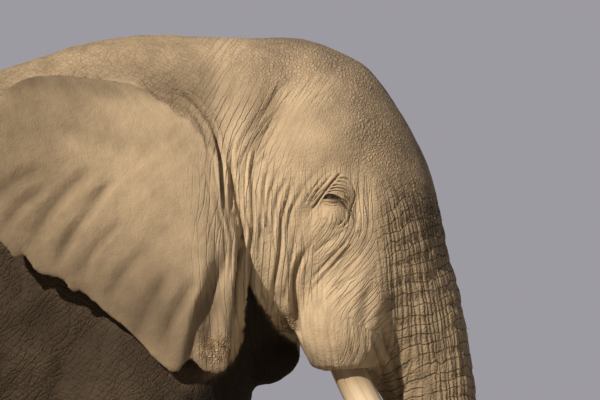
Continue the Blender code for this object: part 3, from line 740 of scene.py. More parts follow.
def broad_forms(at):
    """How far the broad forms of head, body and ribs lift each point."""
    sideways = ease(0.25, 0.6, at.facing) * ease(-0.75, -0.5, at.u) * (1 - at.is_ear)
    ribs = np.sin(2 * math.pi * (at.u + 0.16 * at.w + 0.03 * noise(at.points * 3, 45)) / RIB_SPACING)
    body = mounds(at.flat, BODY_FORMS) + 0.0055 * ribs * mound(at.flat, (-1.55, -0.42), (0.34, 0.48))
    return mounds(at.flat, HEAD_FORMS) * sideways + body * at.outside


def named_folds(at):
    """Height and crease of the named folds of face and ear root, and of the body's, on both sides."""
    height, crease = np.zeros(len(at.u)), np.zeros(len(at.u))
    near = np.flatnonzero((at.u > -0.7) & (at.w > -0.8) & (at.facing > 0.05))
    height[near], crease[near] = folded(at.flat[near], FACE_FOLDS, 0.0055)
    off_ear = 1 - ease(0.2, 0.6, at.is_ear)
    height *= 0.84 * off_ear
    crease *= off_ear
    outward = ease(0.05, 0.3, at.outwards[near])
    root_height, root_crease = folded(at.flat[near], ROOT_FOLDS)
    height[near] += root_height * outward
    crease[near] = np.maximum(crease[near], root_crease * outward)
    height *= ease(0.12, 0.4, at.facing)
    crease *= ease(0.12, 0.4, at.facing)
    body_crease = np.zeros(len(at.u))
    rear = np.flatnonzero(at.outside > 0.02)
    place = at.flat[rear] + 0.02 * (noise(at.points[rear] * 4, 47)[:, None] - 0.5)
    body_height, body_crease[rear] = folded(place, BODY_FOLDS)
    height[rear] += body_height * at.outside[rear]
    return height, crease, body_crease * at.outside


def trunk_round(at):
    """The distance round the trunk from the middle of its front, which is how far ahead its surface lies
    there less how far ahead the point does, plus how far out the point is."""
    reach, bins = np.zeros(60), np.linspace(0, at.length, 60)
    front_row = np.flatnonzero((at.u > -0.2) & (at.y < 0.03) & (at.ahead > 0))
    np.maximum.at(reach, np.round(at.run[front_row] / at.length * 59).astype(int), at.ahead[front_row])
    reach = np.interp(bins, bins[reach > 0.02], reach[reach > 0.02])
    reach = np.convolve(np.pad(reach, 5, mode="edge"), np.ones(11) / 11, mode="valid")
    return at.sign * (at.y - at.ahead + np.interp(at.run, bins, reach))


def beside(flat, line):
    """Across and along a line, in metres."""
    run, away, side, _ = along_line(flat, curve_through(line, 40))
    return np.stack([away * side, run], axis=1)


def crusts(at):
    """Where a crust lies: at the ear's lobe and at the corner of the mouth."""
    crust = mound(at.flat, (-0.385, -0.520), (0.060, 0.045)) * at.is_ear
    corner = mound(at.flat, (-0.155, -0.440), (0.042, 0.055))
    return crust + corner * ease(-0.118, -0.130, at.u) * ease(0.12, 0.2, at.y)


def bend_ears(at, crease):
    """The ear's own folds bend the whole sheet; their creases and the broad hollow above the lobe are painted
    in shade on its outer face only.
    """
    sheet = np.flatnonzero(at.is_ear > 0.02)
    bend, ear_crease = folded(at.flat[sheet], EAR_FOLDS)
    at.points[sheet, 1] += at.sign[sheet] * 0.8 * bend * at.is_ear[sheet]
    outer = at.normals[sheet, 1] * at.points[sheet, 1] > 0
    # Painted shade in the broad hollow above the lobe.
    hollow = mound(at.flat, (-0.402, -0.380), (0.042, 0.110), -0.21) * ease(-0.335, -0.365, at.u)
    for dark, share in ((ear_crease, 0.8), (hollow[sheet], 0.85)):
        crease[sheet] = np.maximum(crease[sheet], dark * at.is_ear[sheet] * outer * share)


def cuticles(points):
    """How near each point is to the raised skin round a toenail."""
    total = 0
    for name in NAIL_NODES:
        low, high = (np.array(corner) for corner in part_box(name))
        off = (points - (low + high) / 2) / ((high - low) / 2)
        total = total + np.exp(-((np.linalg.norm(off, axis=1) - 1.42) / 0.16) ** 2)
    return total


def dress(skin):
    """Moves the skin's points in and out by its forms, folds and wrinkles, and stores what the material
    needs at each point: its flow coordinates, how deep in a crease it lies and its colour."""
    at = look_over(skin)
    find_regions(skin, at)
    points, flat, is_ear = at.points, at.flat, at.is_ear
    form = broad_forms(at)
    height, crease, body_crease = named_folds(at)

    # Flow coordinates in metres, across and along the wrinkles of each region.
    wander = np.stack([noise(points * 7, seed) for seed in (3, 5, 8)], axis=1) - 0.5
    trunk_flow = np.stack([trunk_round(at), at.run], axis=1) + (0.020, 0.050) * wander[:, :2]
    face_flow = beside(flat, CHEEK_LINE) + (0.022, 0.10) * wander[:, :2]
    under_flow = beside(flat, UNDER_LINE) + (0.018, 0.10) * wander[:, :2]

    def add_cracks(where, weight, depth, sharp, seed, jitter=0.9):
        here = np.flatnonzero(weight > 0.02)
        gap = cracks(where[here], seed, jitter)
        line = np.exp(-(gap / sharp) ** 2)
        height[here] += weight[here] * depth * (0.35 - line)
        crease[here] = np.maximum(crease[here], weight[here] * line * 0.7)

    front = ease(-0.17, -0.05, at.ahead)
    back_row = ease(0.030, 0.006, at.y) * ease(0.0, -0.03, at.ahead)
    on_trunk = at.on_trunk * (1 - back_row) * (1 - 0.85 * ease(at.length - 0.10, at.length - 0.03, at.run))
    add_cracks(trunk_flow / (0.040, 0.50), on_trunk, 0.0045, 0.22, 1, 0.8)
    add_cracks(trunk_flow / (0.30, 2 * TRUNK_RING), on_trunk * (0.35 + 0.65 * front), 0.0050, 0.13, 2, 0.38)
    add_cracks(face_flow / (0.042, 0.36), at.line_share * 0.8, 0.0028, 0.11, 4, 0.8)
    add_cracks(under_flow / (0.036, 0.36), at.under_share * 0.8, 0.0026, 0.11, 5, 0.8)
    hide_crease = crease.copy()
    add_cracks(points / (0.15, 0.17, 0.55) + 1.5 * wander, at.on_body * (1 - at.on_leg), 0.0050, 0.13, 6)
    add_cracks(points / (0.20, 0.20, 0.085) + 1.1 * wander, at.on_leg, 0.0050, 0.10, 7)
    crease = hide_crease + 0.35 * (crease - hide_crease)
    crease = np.maximum(crease, 0.30 * body_crease)
    bend_ears(at, crease)
    crust = crusts(at)
    height += crust * 0.006 * (noise(points * 70, 31) - 0.4) + 0.006 * cuticles(points)

    total = form + height + 0.0020 * (noise(points * 30, 11) - 0.5) * (1 - 0.8 * is_ear)
    smooth_normals = unit(np.stack([spread(at.normals[:, k], at.edges, 3) for k in range(3)], axis=1))
    off_sole = 1 - ease(0.05, 0.012, points[:, 2])
    points = points + smooth_normals * (total * off_sole)[:, None]
    points[:, 2] = np.maximum(points[:, 2], 0.0)
    steep = ease(0.15, 0.6, crease) * ease(0.055, 0.075, np.hypot(at.u - 0.01, at.w))
    points = relax(points, at.edges, 2, back=-0.2, amount=steep)
    # Painted shade in the lids' edge and folds and inside the nostrils.
    crease = np.maximum(crease, close_lids(points, flat))
    crease = np.maximum(crease, open_nostrils(points, at.normals))
    move_points(skin, points)

    plain_share = np.clip(1 - on_trunk - is_ear - at.crown, 0, 1) * (1 - 0.85 * at.on_face)
    stored = dict(crease=np.clip(crease, 0, 1), crust=np.clip(crust, 0, 1),
                  dust_and_shade=dust_and_shade_on(points, flat, at.normals, is_ear), plain_share=plain_share,
                  under_share=at.under_share, line_share=at.line_share, trunk_share=on_trunk,
                  ear_share=is_ear, crown_share=at.crown,
                  under_flow=under_flow, face_flow=face_flow, trunk_flow=trunk_flow)
    for name, values in stored.items():
        put(skin, name, values)
    mark_thinning(skin, at)


def mark_thinning(skin, at):
    """Says how much of the skin may be thinned out: most on the body, nothing close round the eyes."""
    u, w, y = at.u, at.w, at.y
    keep = skin.vertex_groups.new(name="thin_out")
    weight = np.where(at.is_ear > 0.5, 0.72, 0.90)
    for value, there in ((0.50, (u > 0.1) | (u > -0.42) & (w > -0.80)), (0.06, on_cheek(u, w) & (y > 0.17)),
                         (0.02, near_eye(u, w, EYE_REACHES[0]) & (y > 0.2)),
                         (0.0, near_eye(u, w, EYE_REACHES[1] + 0.004) & (y > 0.2))):
        weight[there] = value
    for value in np.unique(weight):
        keep.add(np.flatnonzero(weight == value).tolist(), value, "REPLACE")


def dust_and_shade_on(points, flat, normals, is_ear):
    """How dusty the hide is, thick on head, ears and back and worn off lower down, with painted shade and
    light mixed in: below 0 is painted shade, darkest at the jaw, the throat and the hollow behind the sheath."""
    u, w = flat.T
    head = ease(-0.44, -0.36, u)
    drift = 0.26 * (noise(points * 2.6, 41) - 0.5) + 0.12 * (noise(points * 8.0, 43) - 0.5)
    body = ease(-0.22, 0.40, w + 0.16 * normals[:, 2] + drift) * 0.80
    dust_and_shade = head * ease(-0.95, -0.30, w) + (1 - head) * body
    dust_and_shade = np.where(u > -0.05, np.maximum(dust_and_shade, 0.80), dust_and_shade)
    ear_dust = 0.95 - 0.44 * ease(-0.66, -1.05, u) - 0.52 * ease(-0.04, -0.46, w)
    dust_and_shade -= 0.16 * ease(-0.62, -0.95, u) * ease(0.15, 0.35, w)
    dust_and_shade = dust_and_shade + (ear_dust - dust_and_shade) * is_ear
    dust_and_shade -= 0.45 * mound(flat, (-0.52, 0.37), (0.26, 0.12)) * (1 - is_ear)
    # Darker, dust-free skin on the shoulder below the ear, partly painted shade of the ear.
    dust_and_shade -= 0.38 * ease(-0.42, -0.58, u) * ease(-0.02, -0.22, w) * ease(-1.7, -0.9, w) * (1 - is_ear)
    # Painted shade on the ear's upward-facing top edge.
    dust_and_shade -= 0.30 * is_ear * ease(0.25, 0.75, normals[:, 2]) * ease(0.28, 0.38, w)
    dust_and_shade -= 0.14 * mound(flat, (-0.03, 0.19), (0.16, 0.13)) + 0.16 * mound(flat, (-0.24, 0.24), (0.09, 0.15))
    dust_and_shade -= 0.22 * mound(flat, (-0.62, -0.36), (0.22, 0.16), -0.6) * is_ear
    # Painted light on the side of the trunk's root, lifting its shade.
    dust_and_shade += 0.25 * mound(flat, (0.155, -0.20), (0.06, 0.18))
    # Painted shade, near black: the throat below the lit cheek's edge, the jaw and the hollow behind the
    # sheath.
    inside = np.where(u > -0.118, ease(0.20, 0.15, np.abs(points[:, 1])), 1.0)
    throat = ease(0.010, -0.014, w - np.interp(u, *THROAT_EDGE)) * ease(-0.56, -0.46, u)
    throat *= ease(0.0, -0.03, u - 0.02) * inside * (1 - is_ear) * ease(-1.15, -0.80, w)
    behind = (normals[:, 1] * points[:, 1] < 0) * is_ear
    return np.clip(dust_and_shade * (1 - throat) * (1 - 0.6 * behind) - throat, -1, 1)


LID_LINE = [(-2.7, -0.35), (-2.0, 0.70), (-1.0, 1.20), (0.2, 1.15), (1.4, 0.70), (2.5, 0.10), (3.3, -0.50),
            (2.2, -0.50), (1.0, -0.40), (-0.3, -0.35), (-1.5, -0.42)]


def close_lids(points, flat):
    """Lays the skin over each eyeball and opens it along the lids. Outside the opening the skin is never
    lower than a dome a little larger than the eyeball; inside it, it sinks behind the eyeball. Returns how
    near each point is to the lids' edge."""
    line = np.array(LID_LINE) * CM
    line = np.vstack([line, line[:1]])
    near = np.flatnonzero((np.hypot(flat[:, 0] - 0.008, flat[:, 1]) < 0.130) & (np.abs(points[:, 1]) > 0.2))
    place = flat[near]
    _, away, _, _ = along_line(place, line)
    inside = np.zeros(len(place), bool)
    for (ax, ay), (bx, by) in zip(line, line[1:]):
        crosses = (ay > place[:, 1]) != (by > place[:, 1])
        inside ^= crosses & (place[:, 0] < (bx - ax) * (place[:, 1] - ay) / (by - ay + 1e-12) + ax)
    away = np.where(inside, -away, away)
    r = np.hypot(place[:, 0], place[:, 1])
    ball = EYE[1] + np.sqrt(np.clip(EYE_RADIUS ** 2 - r ** 2, 0, None))
    dome = EYE[1] + np.sqrt(np.clip((EYE_RADIUS + LID_THICK) ** 2 - r ** 2, 0, None))
    out = np.abs(points[near, 1])
    lid = np.where(r < EYE_RADIUS + LID_THICK, np.maximum(out, dome), out)
    lid = 0.5 * (lid + np.maximum(lid, out + 0.010 * np.exp(-((away - 0.004) / 0.010) ** 2)))
    height, crease = folded(place, LID_FOLDS, darkest=0.0034)
    lid = lid + height * ease(0.0, 0.003, away)
    sunk = np.minimum(ball - 0.004, out - 0.010)
    out = sunk + (lid - sunk) * ease(-0.0012, 0.0014, away)
    points[near, 1] = np.sign(points[near, 1]) * out
    # How dark the lids are painted: painted shade along their edge and in their folds.
    wet = np.zeros(len(points))
    wet[near] = np.maximum(np.exp(-(away / 0.0028) ** 2), crease)
    return wet


def open_nostrils(points, normals):
    """Sinks two nostrils into the end of the trunk, where it faces back. Returns how deep in them each
    point lies."""
    low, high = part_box("trunk_tip")
    end = np.array([low.x, 0.0, EYE[2] - 2.350])
    off = points - end
    there = (off[:, 0] > -0.02) & (off[:, 0] < 0.06) & (normals[:, 0] < -0.2) & (np.abs(off[:, 2]) < 0.12)
    across = (np.abs(points[:, 1]) - 0.026) / 0.017
    up = (off[:, 2] - 0.012) / 0.026
    deep = np.where(there, np.exp(-(across ** 2 + up ** 2) ** 2), 0)
    points[:, 0] += 0.030 * deep
    ahead = (off[:, 0] > -0.03) & (off[:, 0] < 0.05) & (normals[:, 0] < 0.2)
    for middle, size in ((0.050, 0.026), (-0.040, 0.022)):
        finger = np.exp(-(points[:, 1] / 0.026) ** 2 - ((off[:, 2] - middle) / 0.017) ** 2)
        points[:, 0] -= np.where(ahead, size * finger, 0)
    return deep


def put(piece, name, values):
    """Stores a number or a vector at each point of the piece. A pair becomes a vector that ends in 0."""
    values = np.asarray(values, float)
    flat = values.ndim == 1
    if not flat:
        values = np.pad(values, ((0, 0), (0, 3 - values.shape[1])))
    kind = "FLOAT" if flat else "FLOAT_VECTOR"
    made = piece.data.attributes.get(name) or piece.data.attributes.new(name, kind, "POINT")
    made.data.foreach_set("value" if flat else "vector", values.ravel())


# ---------------- materials
def fill(tree, socket, value):
    """Links a node's output to the socket, or sets the socket to a plain value."""
    if isinstance(value, bpy.types.NodeSocket):
        tree.links.new(value, socket)
    else:
        socket.default_value = value


def node(tree, kind, **inputs):
    """A node with settings by attribute name, and values or links by input name or by _number."""
    made = tree.nodes.new("ShaderNode" + kind)
    for key, value in inputs.items():
        if key[0].islower():
            setattr(made, key, value)
        else:
            fill(tree, made.inputs[int(key[1:]) if key[0] == "_" else key.replace("_", " ")], value)
    return made


class Paint:
    """A material, with short ways to write its nodes."""

    def __init__(self, name, base, roughness, specular=0.3):
        self.mat = bpy.data.materials.new(name)
        self.mat.use_nodes = True
        self.tree = self.mat.node_tree
        self.set(Base_Color=(*base, 1), Roughness=roughness, Specular_IOR_Level=specular)
        self.where = self.node("TexCoord", "Object")

    def set(self, **inputs):
        for key, value in inputs.items():
            fill(self.tree, self.tree.nodes["Principled BSDF"].inputs[key.replace("_", " ")], value)
        return self.mat

    def node(self, kind, output=0, **inputs):
        return node(self.tree, kind, **inputs).outputs[output]

    def stored(self, name, output="Fac"):
        return self.node("Attribute", output, attribute_name=name)

    def maths(self, operation, a, b, clamp=False):
        return self.node("Math", operation=operation, use_clamp=clamp, _0=a, _1=b)

    def remap(self, value, from_low, from_high, to_low=0.0, to_high=1.0):
        return self.node("MapRange", Value=value, From_Min=from_low, From_Max=from_high, To_Min=to_low,
                         To_Max=to_high)

    def cell_gap(self, vector, scale, width, dims="3D"):
        """0 on the border between random cells, 1 from a given distance inside them."""
        gap = self.node("TexVoronoi", "Distance", voronoi_dimensions=dims, feature="DISTANCE_TO_EDGE",
                        Vector=vector, Scale=scale, Randomness=0.95)
        return self.remap(gap, 0.0, width)

    def wobble(self, scale, detail=3.0, vector=None, output="Fac"):
        return self.node("TexNoise", output, Vector=vector or self.where, Scale=scale, Detail=detail)

    def times(self, *factors):
        return reduce(lambda a, b: self.maths("MULTIPLY", a, b), factors)

    def plus(self, *terms):
        return reduce(lambda a, b: self.maths("ADD", a, b), terms)

    def less(self, value):
        """1 - value, not below 0."""
        return self.maths("SUBTRACT", 1.0, value, True)

    def scaled(self, vector, x, y, z=1.0):
        return self.node("Mapping", Vector=vector, Scale=(x, y, z))

    def leaning(self, vector, angle, x, y, z):
        """The vector turned about the Y axis and then scaled."""
        return self.node("Mapping", vector_type="TEXTURE", Vector=vector, Rotation=(0, angle, 0),
                         Scale=(1 / x, 1 / y, 1 / z))

    def mix(self, share, a, b):
        a, b = ((*colour, 1) if isinstance(colour, tuple) else colour for colour in (a, b))
        return self.node("Mix", 2, data_type="RGBA", _0=share, _6=a, _7=b)

    def bump(self, height):
        return self.node("Bump", Height=height, Distance=1.0, Strength=1.0)


def skin_paint():
    """Dusty hide: long wrinkles beside each region's flow, small cells between them, pebbles on the crown and
    mottled dusting over dark brown, with painted shade in the creases and near black painted shade in the
    throat."""
    t = Paint("hide", (0.42, 0.33, 0.23), 0.9, 0.15)
    trunk, lines, under, dust_and_shade, crust, ear_area, crown, crease, plain = (t.stored(name) for name in (
        "trunk_share", "line_share", "under_share", "dust_and_shade", "crust", "ear_share", "crown_share", "crease",
        "plain_share"))
    trunk_flow, face_flow, under_flow = (
        t.stored(name, "Vector") for name in ("trunk_flow", "face_flow", "under_flow"))

    worn = t.times(plain, t.remap(dust_and_shade, 0.25, 0.80, 1.0, 0.28))
    bent = t.node("VectorMath", operation="MULTIPLY_ADD", _0=t.wobble(9.0, output="Color"),
                  _1=(0.05, 0.05, 0.05), _2=t.where)
    ridges = t.maths("POWER", t.cell_gap(t.scaled(trunk_flow, 1 / 0.023, 1 / 0.30), 1.0, 0.40, "2D"), 0.6)
    along = t.maths("DIVIDE", t.node("SeparateXYZ", "Y", Vector=trunk_flow), TRUNK_RING)
    along = t.plus(along, t.times(t.wobble(5.0, 2), 2.2), t.times(t.wobble(24.0, 3), 0.9))
    rings = t.remap(t.maths("PINGPONG", along, 0.5), 0.0, 0.11)
    rings = t.maths("MAXIMUM", rings, t.remap(t.wobble(13.0, 3), 0.52, 0.68))
    crumbs = t.cell_gap(bent, 100.0, 0.4)
    patchy = t.remap(t.wobble(4.0, 4), 0.35, 0.60)
    fine_cells = t.cell_gap(t.scaled(bent, 1.0, 1.0, 0.6), 115.0, 0.30)

    # Each pattern, where it lies, how high it stands in metres and how much its gaps darken the hide: painted
    # shade in the grooves, with some dirt.
    patterns = [
        (ridges, trunk, 0.0054, 0.30),
        (rings, trunk, 0.0036, 0.40),
        (t.cell_gap(t.scaled(trunk_flow, 1 / 0.024, 1 / 0.013), 1.0, 0.25, "2D"), trunk, 0.0009, 0.10),
        (t.cell_gap(t.scaled(face_flow, 1 / 0.021, 1 / 0.26), 1.0, 0.12, "2D"), lines, 0.0026, 0.32),
        (t.cell_gap(t.scaled(under_flow, 1 / 0.016, 1 / 0.24), 1.0, 0.13, "2D"), under, 0.0026, 0.34),
        (t.cell_gap(bent, 70.0, 0.20), plain, 0.0010, 0.17),
        (t.cell_gap(t.leaning(bent, 0.50, 7.0, 20.0, 62.0), 1.0, 0.13), worn, 0.0017, 0.30),
        (t.cell_gap(t.leaning(bent, -0.75, 9.0, 22.0, 46.0), 1.0, 0.12), worn, 0.0017, 0.30),
        (t.cell_gap(bent, 78.0, 0.36), crown, t.remap(patchy, 0, 1, 0.0011, 0.0030), 0.42),
        (crumbs, crust, 0.0060, 0.40)]
    height = t.plus(*(t.times(pattern, where, tall) for pattern, where, tall, _ in patterns),
                    t.times(fine_cells, t.less(t.times(ear_area, 0.80)), 0.0007),
                    t.times(t.wobble(26, 4), 0.0036), t.times(t.wobble(170, 3), 0.0011))
    crease_shade_and_dirt = t.plus(*(t.times(t.less(pattern), where, dark) for pattern, where, _, dark in patterns),
                  t.times(crease, 0.40))

    mottle = t.plus(t.wobble(6.0, 6), t.times(t.wobble(38.0, 3), 0.5))
    low_brown = t.mix(t.remap(t.wobble(5.0, 6), 0.36, 0.66), (0.056, 0.039, 0.025), (0.104, 0.075, 0.049))
    bare = t.less(t.remap(t.plus(dust_and_shade, t.times(t.wobble(7.0, 5), 0.5)), 0.15, 1.15))
    crumb_colour = t.mix(t.remap(t.wobble(40, 3), 0.42, 0.58), (0.26, 0.130, 0.055), (0.62, 0.47, 0.31))
    colour = t.mix(t.remap(t.wobble(2.2, 4), 0.36, 0.64), (0.530, 0.405, 0.262), (0.430, 0.325, 0.212))
    for share, over in (
            (t.remap(t.wobble(11.0, 6), 0.42, 0.74, 0, 0.6), (0.32, 0.24, 0.155)),
            (t.times(t.plus(lines, under), 0.50), (0.74, 0.575, 0.385)),
            # Dark brown where the hide is bare, and also painted shade on the shoulder under the ear and on
            # the ear's top edge.
            (bare, low_brown),
            (t.times(trunk, t.remap(t.wobble(8.0, 5), 0.35, 0.7, 0.0, 0.24)), (0.28, 0.215, 0.15)),
            (t.times(crown, t.remap(mottle, 0.62, 0.94, 0.0, 0.62)), (0.22, 0.172, 0.130)),
            (t.times(crust, 0.75), crumb_colour),
            # Painted shade, with some dirt: the wrinkles' gaps and the creases, the lids' edge and the
            # nostrils darken the hide.
            (t.maths("MINIMUM", crease_shade_and_dirt, 0.92), (0.065, 0.046, 0.030)),
            # Painted shade: where the stored value falls below 0 the hide turns near black, in the throat,
            # under the jaw and in the hollow behind the sheath.
            (t.remap(dust_and_shade, -1.0, 0.0, 0.93, 0.0), (0.016, 0.012, 0.009))):
        colour = t.mix(share, colour, over)
    return t.set(Base_Color=colour, Normal=t.bump(height))


def ivory_paint():
    """Ivory: fine lengthwise grain, hair cracks and a brown stain that fades from the lip to the tip."""
    t = Paint("ivory", (0.74, 0.61, 0.43), 0.38, 0.45)
    flow, stain = t.stored("grain", "Vector"), t.stored("stain")
    grain = t.wobble(1.0, 5, t.scaled(flow, 60, 7))
    splits = t.cell_gap(t.scaled(flow, 34, 1.6), 1.0, 0.035, "2D")
    colour = t.mix(t.remap(grain, 0.3, 0.7), (0.68, 0.53, 0.35), (0.78, 0.64, 0.46))
    colour = t.mix(t.times(t.less(splits), 0.55), colour, (0.30, 0.20, 0.10))
    colour = t.mix(t.times(stain, t.remap(t.wobble(9, 5), 0.3, 0.7, 0.5, 1.0)), colour, (0.22, 0.14, 0.07))
    return t.set(Base_Color=colour, Roughness=t.remap(grain, 0.2, 0.8, 0.30, 0.48),
                 Normal=t.bump(t.plus(t.times(grain, 0.0008), t.times(splits, 0.0007))))


def nail_paint():
    """Horn: growth bands across the nail, scuffed and dusty."""
    t = Paint("horn", (0.50, 0.42, 0.31), 0.62, 0.3)
    bands = t.wobble(1.0, 4, t.scaled(t.where, 9, 9, 95))
    colour = t.mix(t.remap(bands, 0.3, 0.7), (0.36, 0.29, 0.20), (0.54, 0.45, 0.33))
    colour = t.mix(t.remap(t.wobble(35, 5), 0.45, 0.75, 0, 0.6), colour, (0.20, 0.15, 0.10))
    return t.set(Base_Color=colour,
                 Normal=t.bump(t.plus(t.times(bands, 0.002), t.times(t.wobble(140), 0.001))))


def eye_paint():
    """Wet eyeball: dark pupil, brown iris with rays and a darker rim, brownish white beyond."""
    t = Paint("eyeball", (0.10, 0.05, 0.02), 0.08, 0.6)
    disc = t.stored("disc")
    rays = t.wobble(1.0, 4, t.scaled(t.stored("rays", "Vector"), 14, 2))
    iris = t.mix(t.remap(rays, 0.3, 0.7), (0.060, 0.030, 0.014), (0.135, 0.075, 0.036))
    colour = t.mix(t.remap(disc, 0.24, 0.28), (0.004, 0.003, 0.003), iris)
    colour = t.mix(t.remap(disc, 0.58, 0.66), colour, (0.05, 0.025, 0.012))
    colour = t.mix(t.remap(disc, 0.68, 0.78), colour, (0.13, 0.085, 0.055))
    return t.set(Base_Color=colour, Coat_Weight=1.0, Coat_Roughness=0.03)


def hair_paint():
    """Wiry black-brown hair, a little paler and dustier here and there."""
    t = Paint("hair", (0.030, 0.024, 0.020), 0.5, 0.4)
    return t.set(Base_Color=t.mix(t.remap(t.wobble(60, 3), 0.35, 0.7), (0.020, 0.016, 0.013),
                                  (0.075, 0.056, 0.040)))


# ---------------- pieces of their own
def circles(middle, ahead, across, radius, turn):
    """Circles of points square to a line's run, at the given angles."""
    across = unit(across)
    other = np.cross(ahead, across)
    return middle[..., None, :] + radius[..., None] * (
        np.cos(turn)[:, None] * across[..., None, :] + np.sin(turn)[:, None] * other[..., None, :])


def tube(name, rings, material):
    """A closed surface through rings of points, with a fan at each end."""
    rows, cols = rings.shape[:2]
    verts = np.vstack([rings.reshape(-1, 3), rings[0].mean(axis=0), rings[-1].mean(axis=0)])
    ring = np.arange(cols)
    after, last_row = (ring + 1) % cols, (rows - 1) * cols
    first = np.stack([after, ring, np.full(cols, rows * cols)], axis=1)
    last = np.stack([last_row + ring, last_row + after, np.full(cols, rows * cols + 1)], axis=1)
    return mesh_piece(name, verts, [*grid_faces(rows, cols), *first, *last], material)


def tusk(name, side, material):
    """A tusk: circles along an arc from inside the sheath, tapering to a worn, slightly flattened tip."""
    start, end = math.radians(TUSK_ANGLES[0]), math.radians(TUSK_ANGLES[1])
    run = np.linspace(0, TUSK_ROOT + TUSK_LENGTH, 90)
    share = np.clip((run - TUSK_ROOT) / TUSK_LENGTH, 0, None)
    angle = start + (end - start) * share
    ahead = unit(np.stack([np.sin(angle), side * (0.12 + 0.10 * share), -np.cos(angle)], axis=1))
    centre = np.array([EYE[0] + TUSK_EXIT[0], side * TUSK_EXIT[1], EYE[2] + TUSK_EXIT[2]])
    centre = centre - np.array([math.sin(start), side * 0.12, -math.cos(start)]) * TUSK_ROOT
    middle = centre + np.vstack([[0, 0, 0], np.cumsum(ahead[:-1] * (run[1] - run[0]), axis=0)])
    radius = TUSK_RADIUS * (1 - 0.22 * share - 0.64 * share ** 4)
    radius = radius * np.sqrt(np.clip((1.004 - share) / 0.030, 0.02, 1))
    turn = np.linspace(0, 2 * math.pi, 40, endpoint=False)
    swell = 1 + 0.010 * np.sin(3 * turn[None] + 5 * share[:, None]) + 0.008 * np.sin(run[:, None] * 31)
    made = tube(name, circles(middle, ahead, np.cross([0, 1, 0], ahead), radius[:, None] * swell, turn),
                material)
    grain = np.stack(np.broadcast_arrays(TUSK_RADIUS * turn[None], run[:, None]), axis=-1)
    put(made, "grain", np.vstack([grain.reshape(-1, 2), [0, run[0]], [0, run[-1]]]))
    put(made, "stain", np.append(np.repeat(ease(0.14, 0.0, share) * 0.9, len(turn)), [1, 0]))
    return made


def eyeball(name, side, material):
    """A ball with the cornea's slight bulge, its pupil turned a little forward."""
    tilt = np.linspace(0.02, math.pi - 0.02, 48)[:, None]
    turn = np.linspace(0, 2 * math.pi, 64, endpoint=False)[None]
    radius = EYE_RADIUS * (0.985 + 0.030 * np.exp(-(tilt / 0.55) ** 2))
    ahead, out, up = np.broadcast_arrays(
        radius * np.sin(tilt) * np.cos(turn), radius * np.cos(tilt), radius * np.sin(tilt) * np.sin(turn))
    c, s = math.cos(PUPIL_FORWARD), math.sin(PUPIL_FORWARD)
    made = tube(name, EYE * (1, side, 1) + np.stack(
        [ahead * c + out * s, side * (out * c - ahead * s), up], axis=-1), material)
    made.data.flip_normals()
    rays = np.stack(np.broadcast_arrays(turn, tilt), axis=-1).reshape(-1, 2)
    put(made, "disc", np.append(rays[:, 1], [0, 3]))
    put(made, "rays", np.vstack([rays, [0, 0], [0, 3]]))
    return made


def toenails(skin, material):
    """Every nail as a plate on the foot's own surface: an arch in outline, its face swelling out from the
    skin by a flattened bell and its border sunk below it."""
    rows = cols = 26
    side, up = np.meshgrid(np.linspace(-1, 1, cols), np.linspace(0, 1, rows))
    verts, points = [], points_of(skin)
    for name in NAIL_NODES:
        low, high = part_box(name)
        chosen, middle, turns, reach = foot_of(points, name)
        wall = (reach > FOOT_WALL) & (points[chosen, 2] > 0.003) & (points[chosen, 2] < 0.22)
        turns, heights, reach = turns[wall], points[chosen[wall], 2], reach[wall]
        towards = math.atan2((low.y + high.y) / 2 - middle[1], (low.x + high.x) / 2 - middle[0])
        half = NAIL_WIDTH / 2 / float(np.median(reach))
        arch = 1 - 0.45 * up ** 2.2
        turn = (towards + half * side * arch).ravel()
        height = (0.010 + NAIL_HEIGHT * up * (1 - 0.16 * np.abs(side) ** 2.5)).ravel()
        wrapped = np.arctan2(np.sin(turn), np.cos(turn))
        out = mean_reach(wrapped, height, turns, heights, reach, 0.10, 0.020)
        border = np.where(up > 0.5, (2 * up - 1) ** 4, (1 - 2 * up) ** 8)
        border = np.maximum(np.abs(side) ** 5, border).ravel()
        out = out - 0.010 + 0.024 * np.sqrt(np.clip(1 - border, 0, 1)) * (1 - 0.25 * up.ravel())
        x, y = middle[0] + out * np.cos(turn), middle[1] + out * np.sin(turn)
        verts.append(np.stack([x, y, height], axis=1))
    faces = [grid_faces(rows, cols, closed=False) + i * rows * cols for i in range(len(verts))]
    piece = mesh_piece("toenails", np.vstack(verts), np.vstack(faces), material)
    return applied(piece, "close", "SOLIDIFY", thickness=0.006, offset=-1.0)


def hairs(name, roots, ways, lengths, radius, sag, unwrap, material, parts):
    """Tapering three-sided hairs joined in one piece. Each leaves its root along its way and bends towards
    the ground: place(s) = root + way * s + down * sag * s^2, for s from 0 to its length. Its patch of the
    map is small and lies at its root's place on the unwrap."""
    each = (parts + 1) * 3
    s = np.linspace(0, 1, parts + 1)[None, :, None] * lengths[:, None, None]
    middle = roots[:, None] + ways[:, None] * s + np.array([0, 0, -1.0]) * (sag * s ** 2)
    run = unit(np.gradient(middle, axis=1))
    radius = np.broadcast_to(radius, len(roots))
    thick = radius[:, None] * np.linspace(1, 0.12, parts + 1)[None] ** 0.7
    turn = np.arange(3) * 2 * math.pi / 3
    verts = circles(middle, run, np.cross(run, [0.31, 0.87, 0.39]), thick[..., None], turn)
    start = np.arange(len(roots))[:, None] * each
    faces = (start[..., None] + grid_faces(parts + 1, 3)).reshape(-1, 4)
    tips = start + parts * 3 + np.arange(3)[None]
    made = mesh_piece(name, verts.reshape(-1, 3), faces.tolist() + tips.tolist(), material)
    corners = read(made.data.loops, "vertex_index", 1, int).ravel()
    hair, place = corners // each, corners % each
    patch = np.stack([place % 3 / 2, place // 3 / parts], axis=1) * 0.003
    made.data.uv_layers.new(name="OFBake").data.foreach_set("uv", (unwrap[hair] + patch).ravel())
    return made


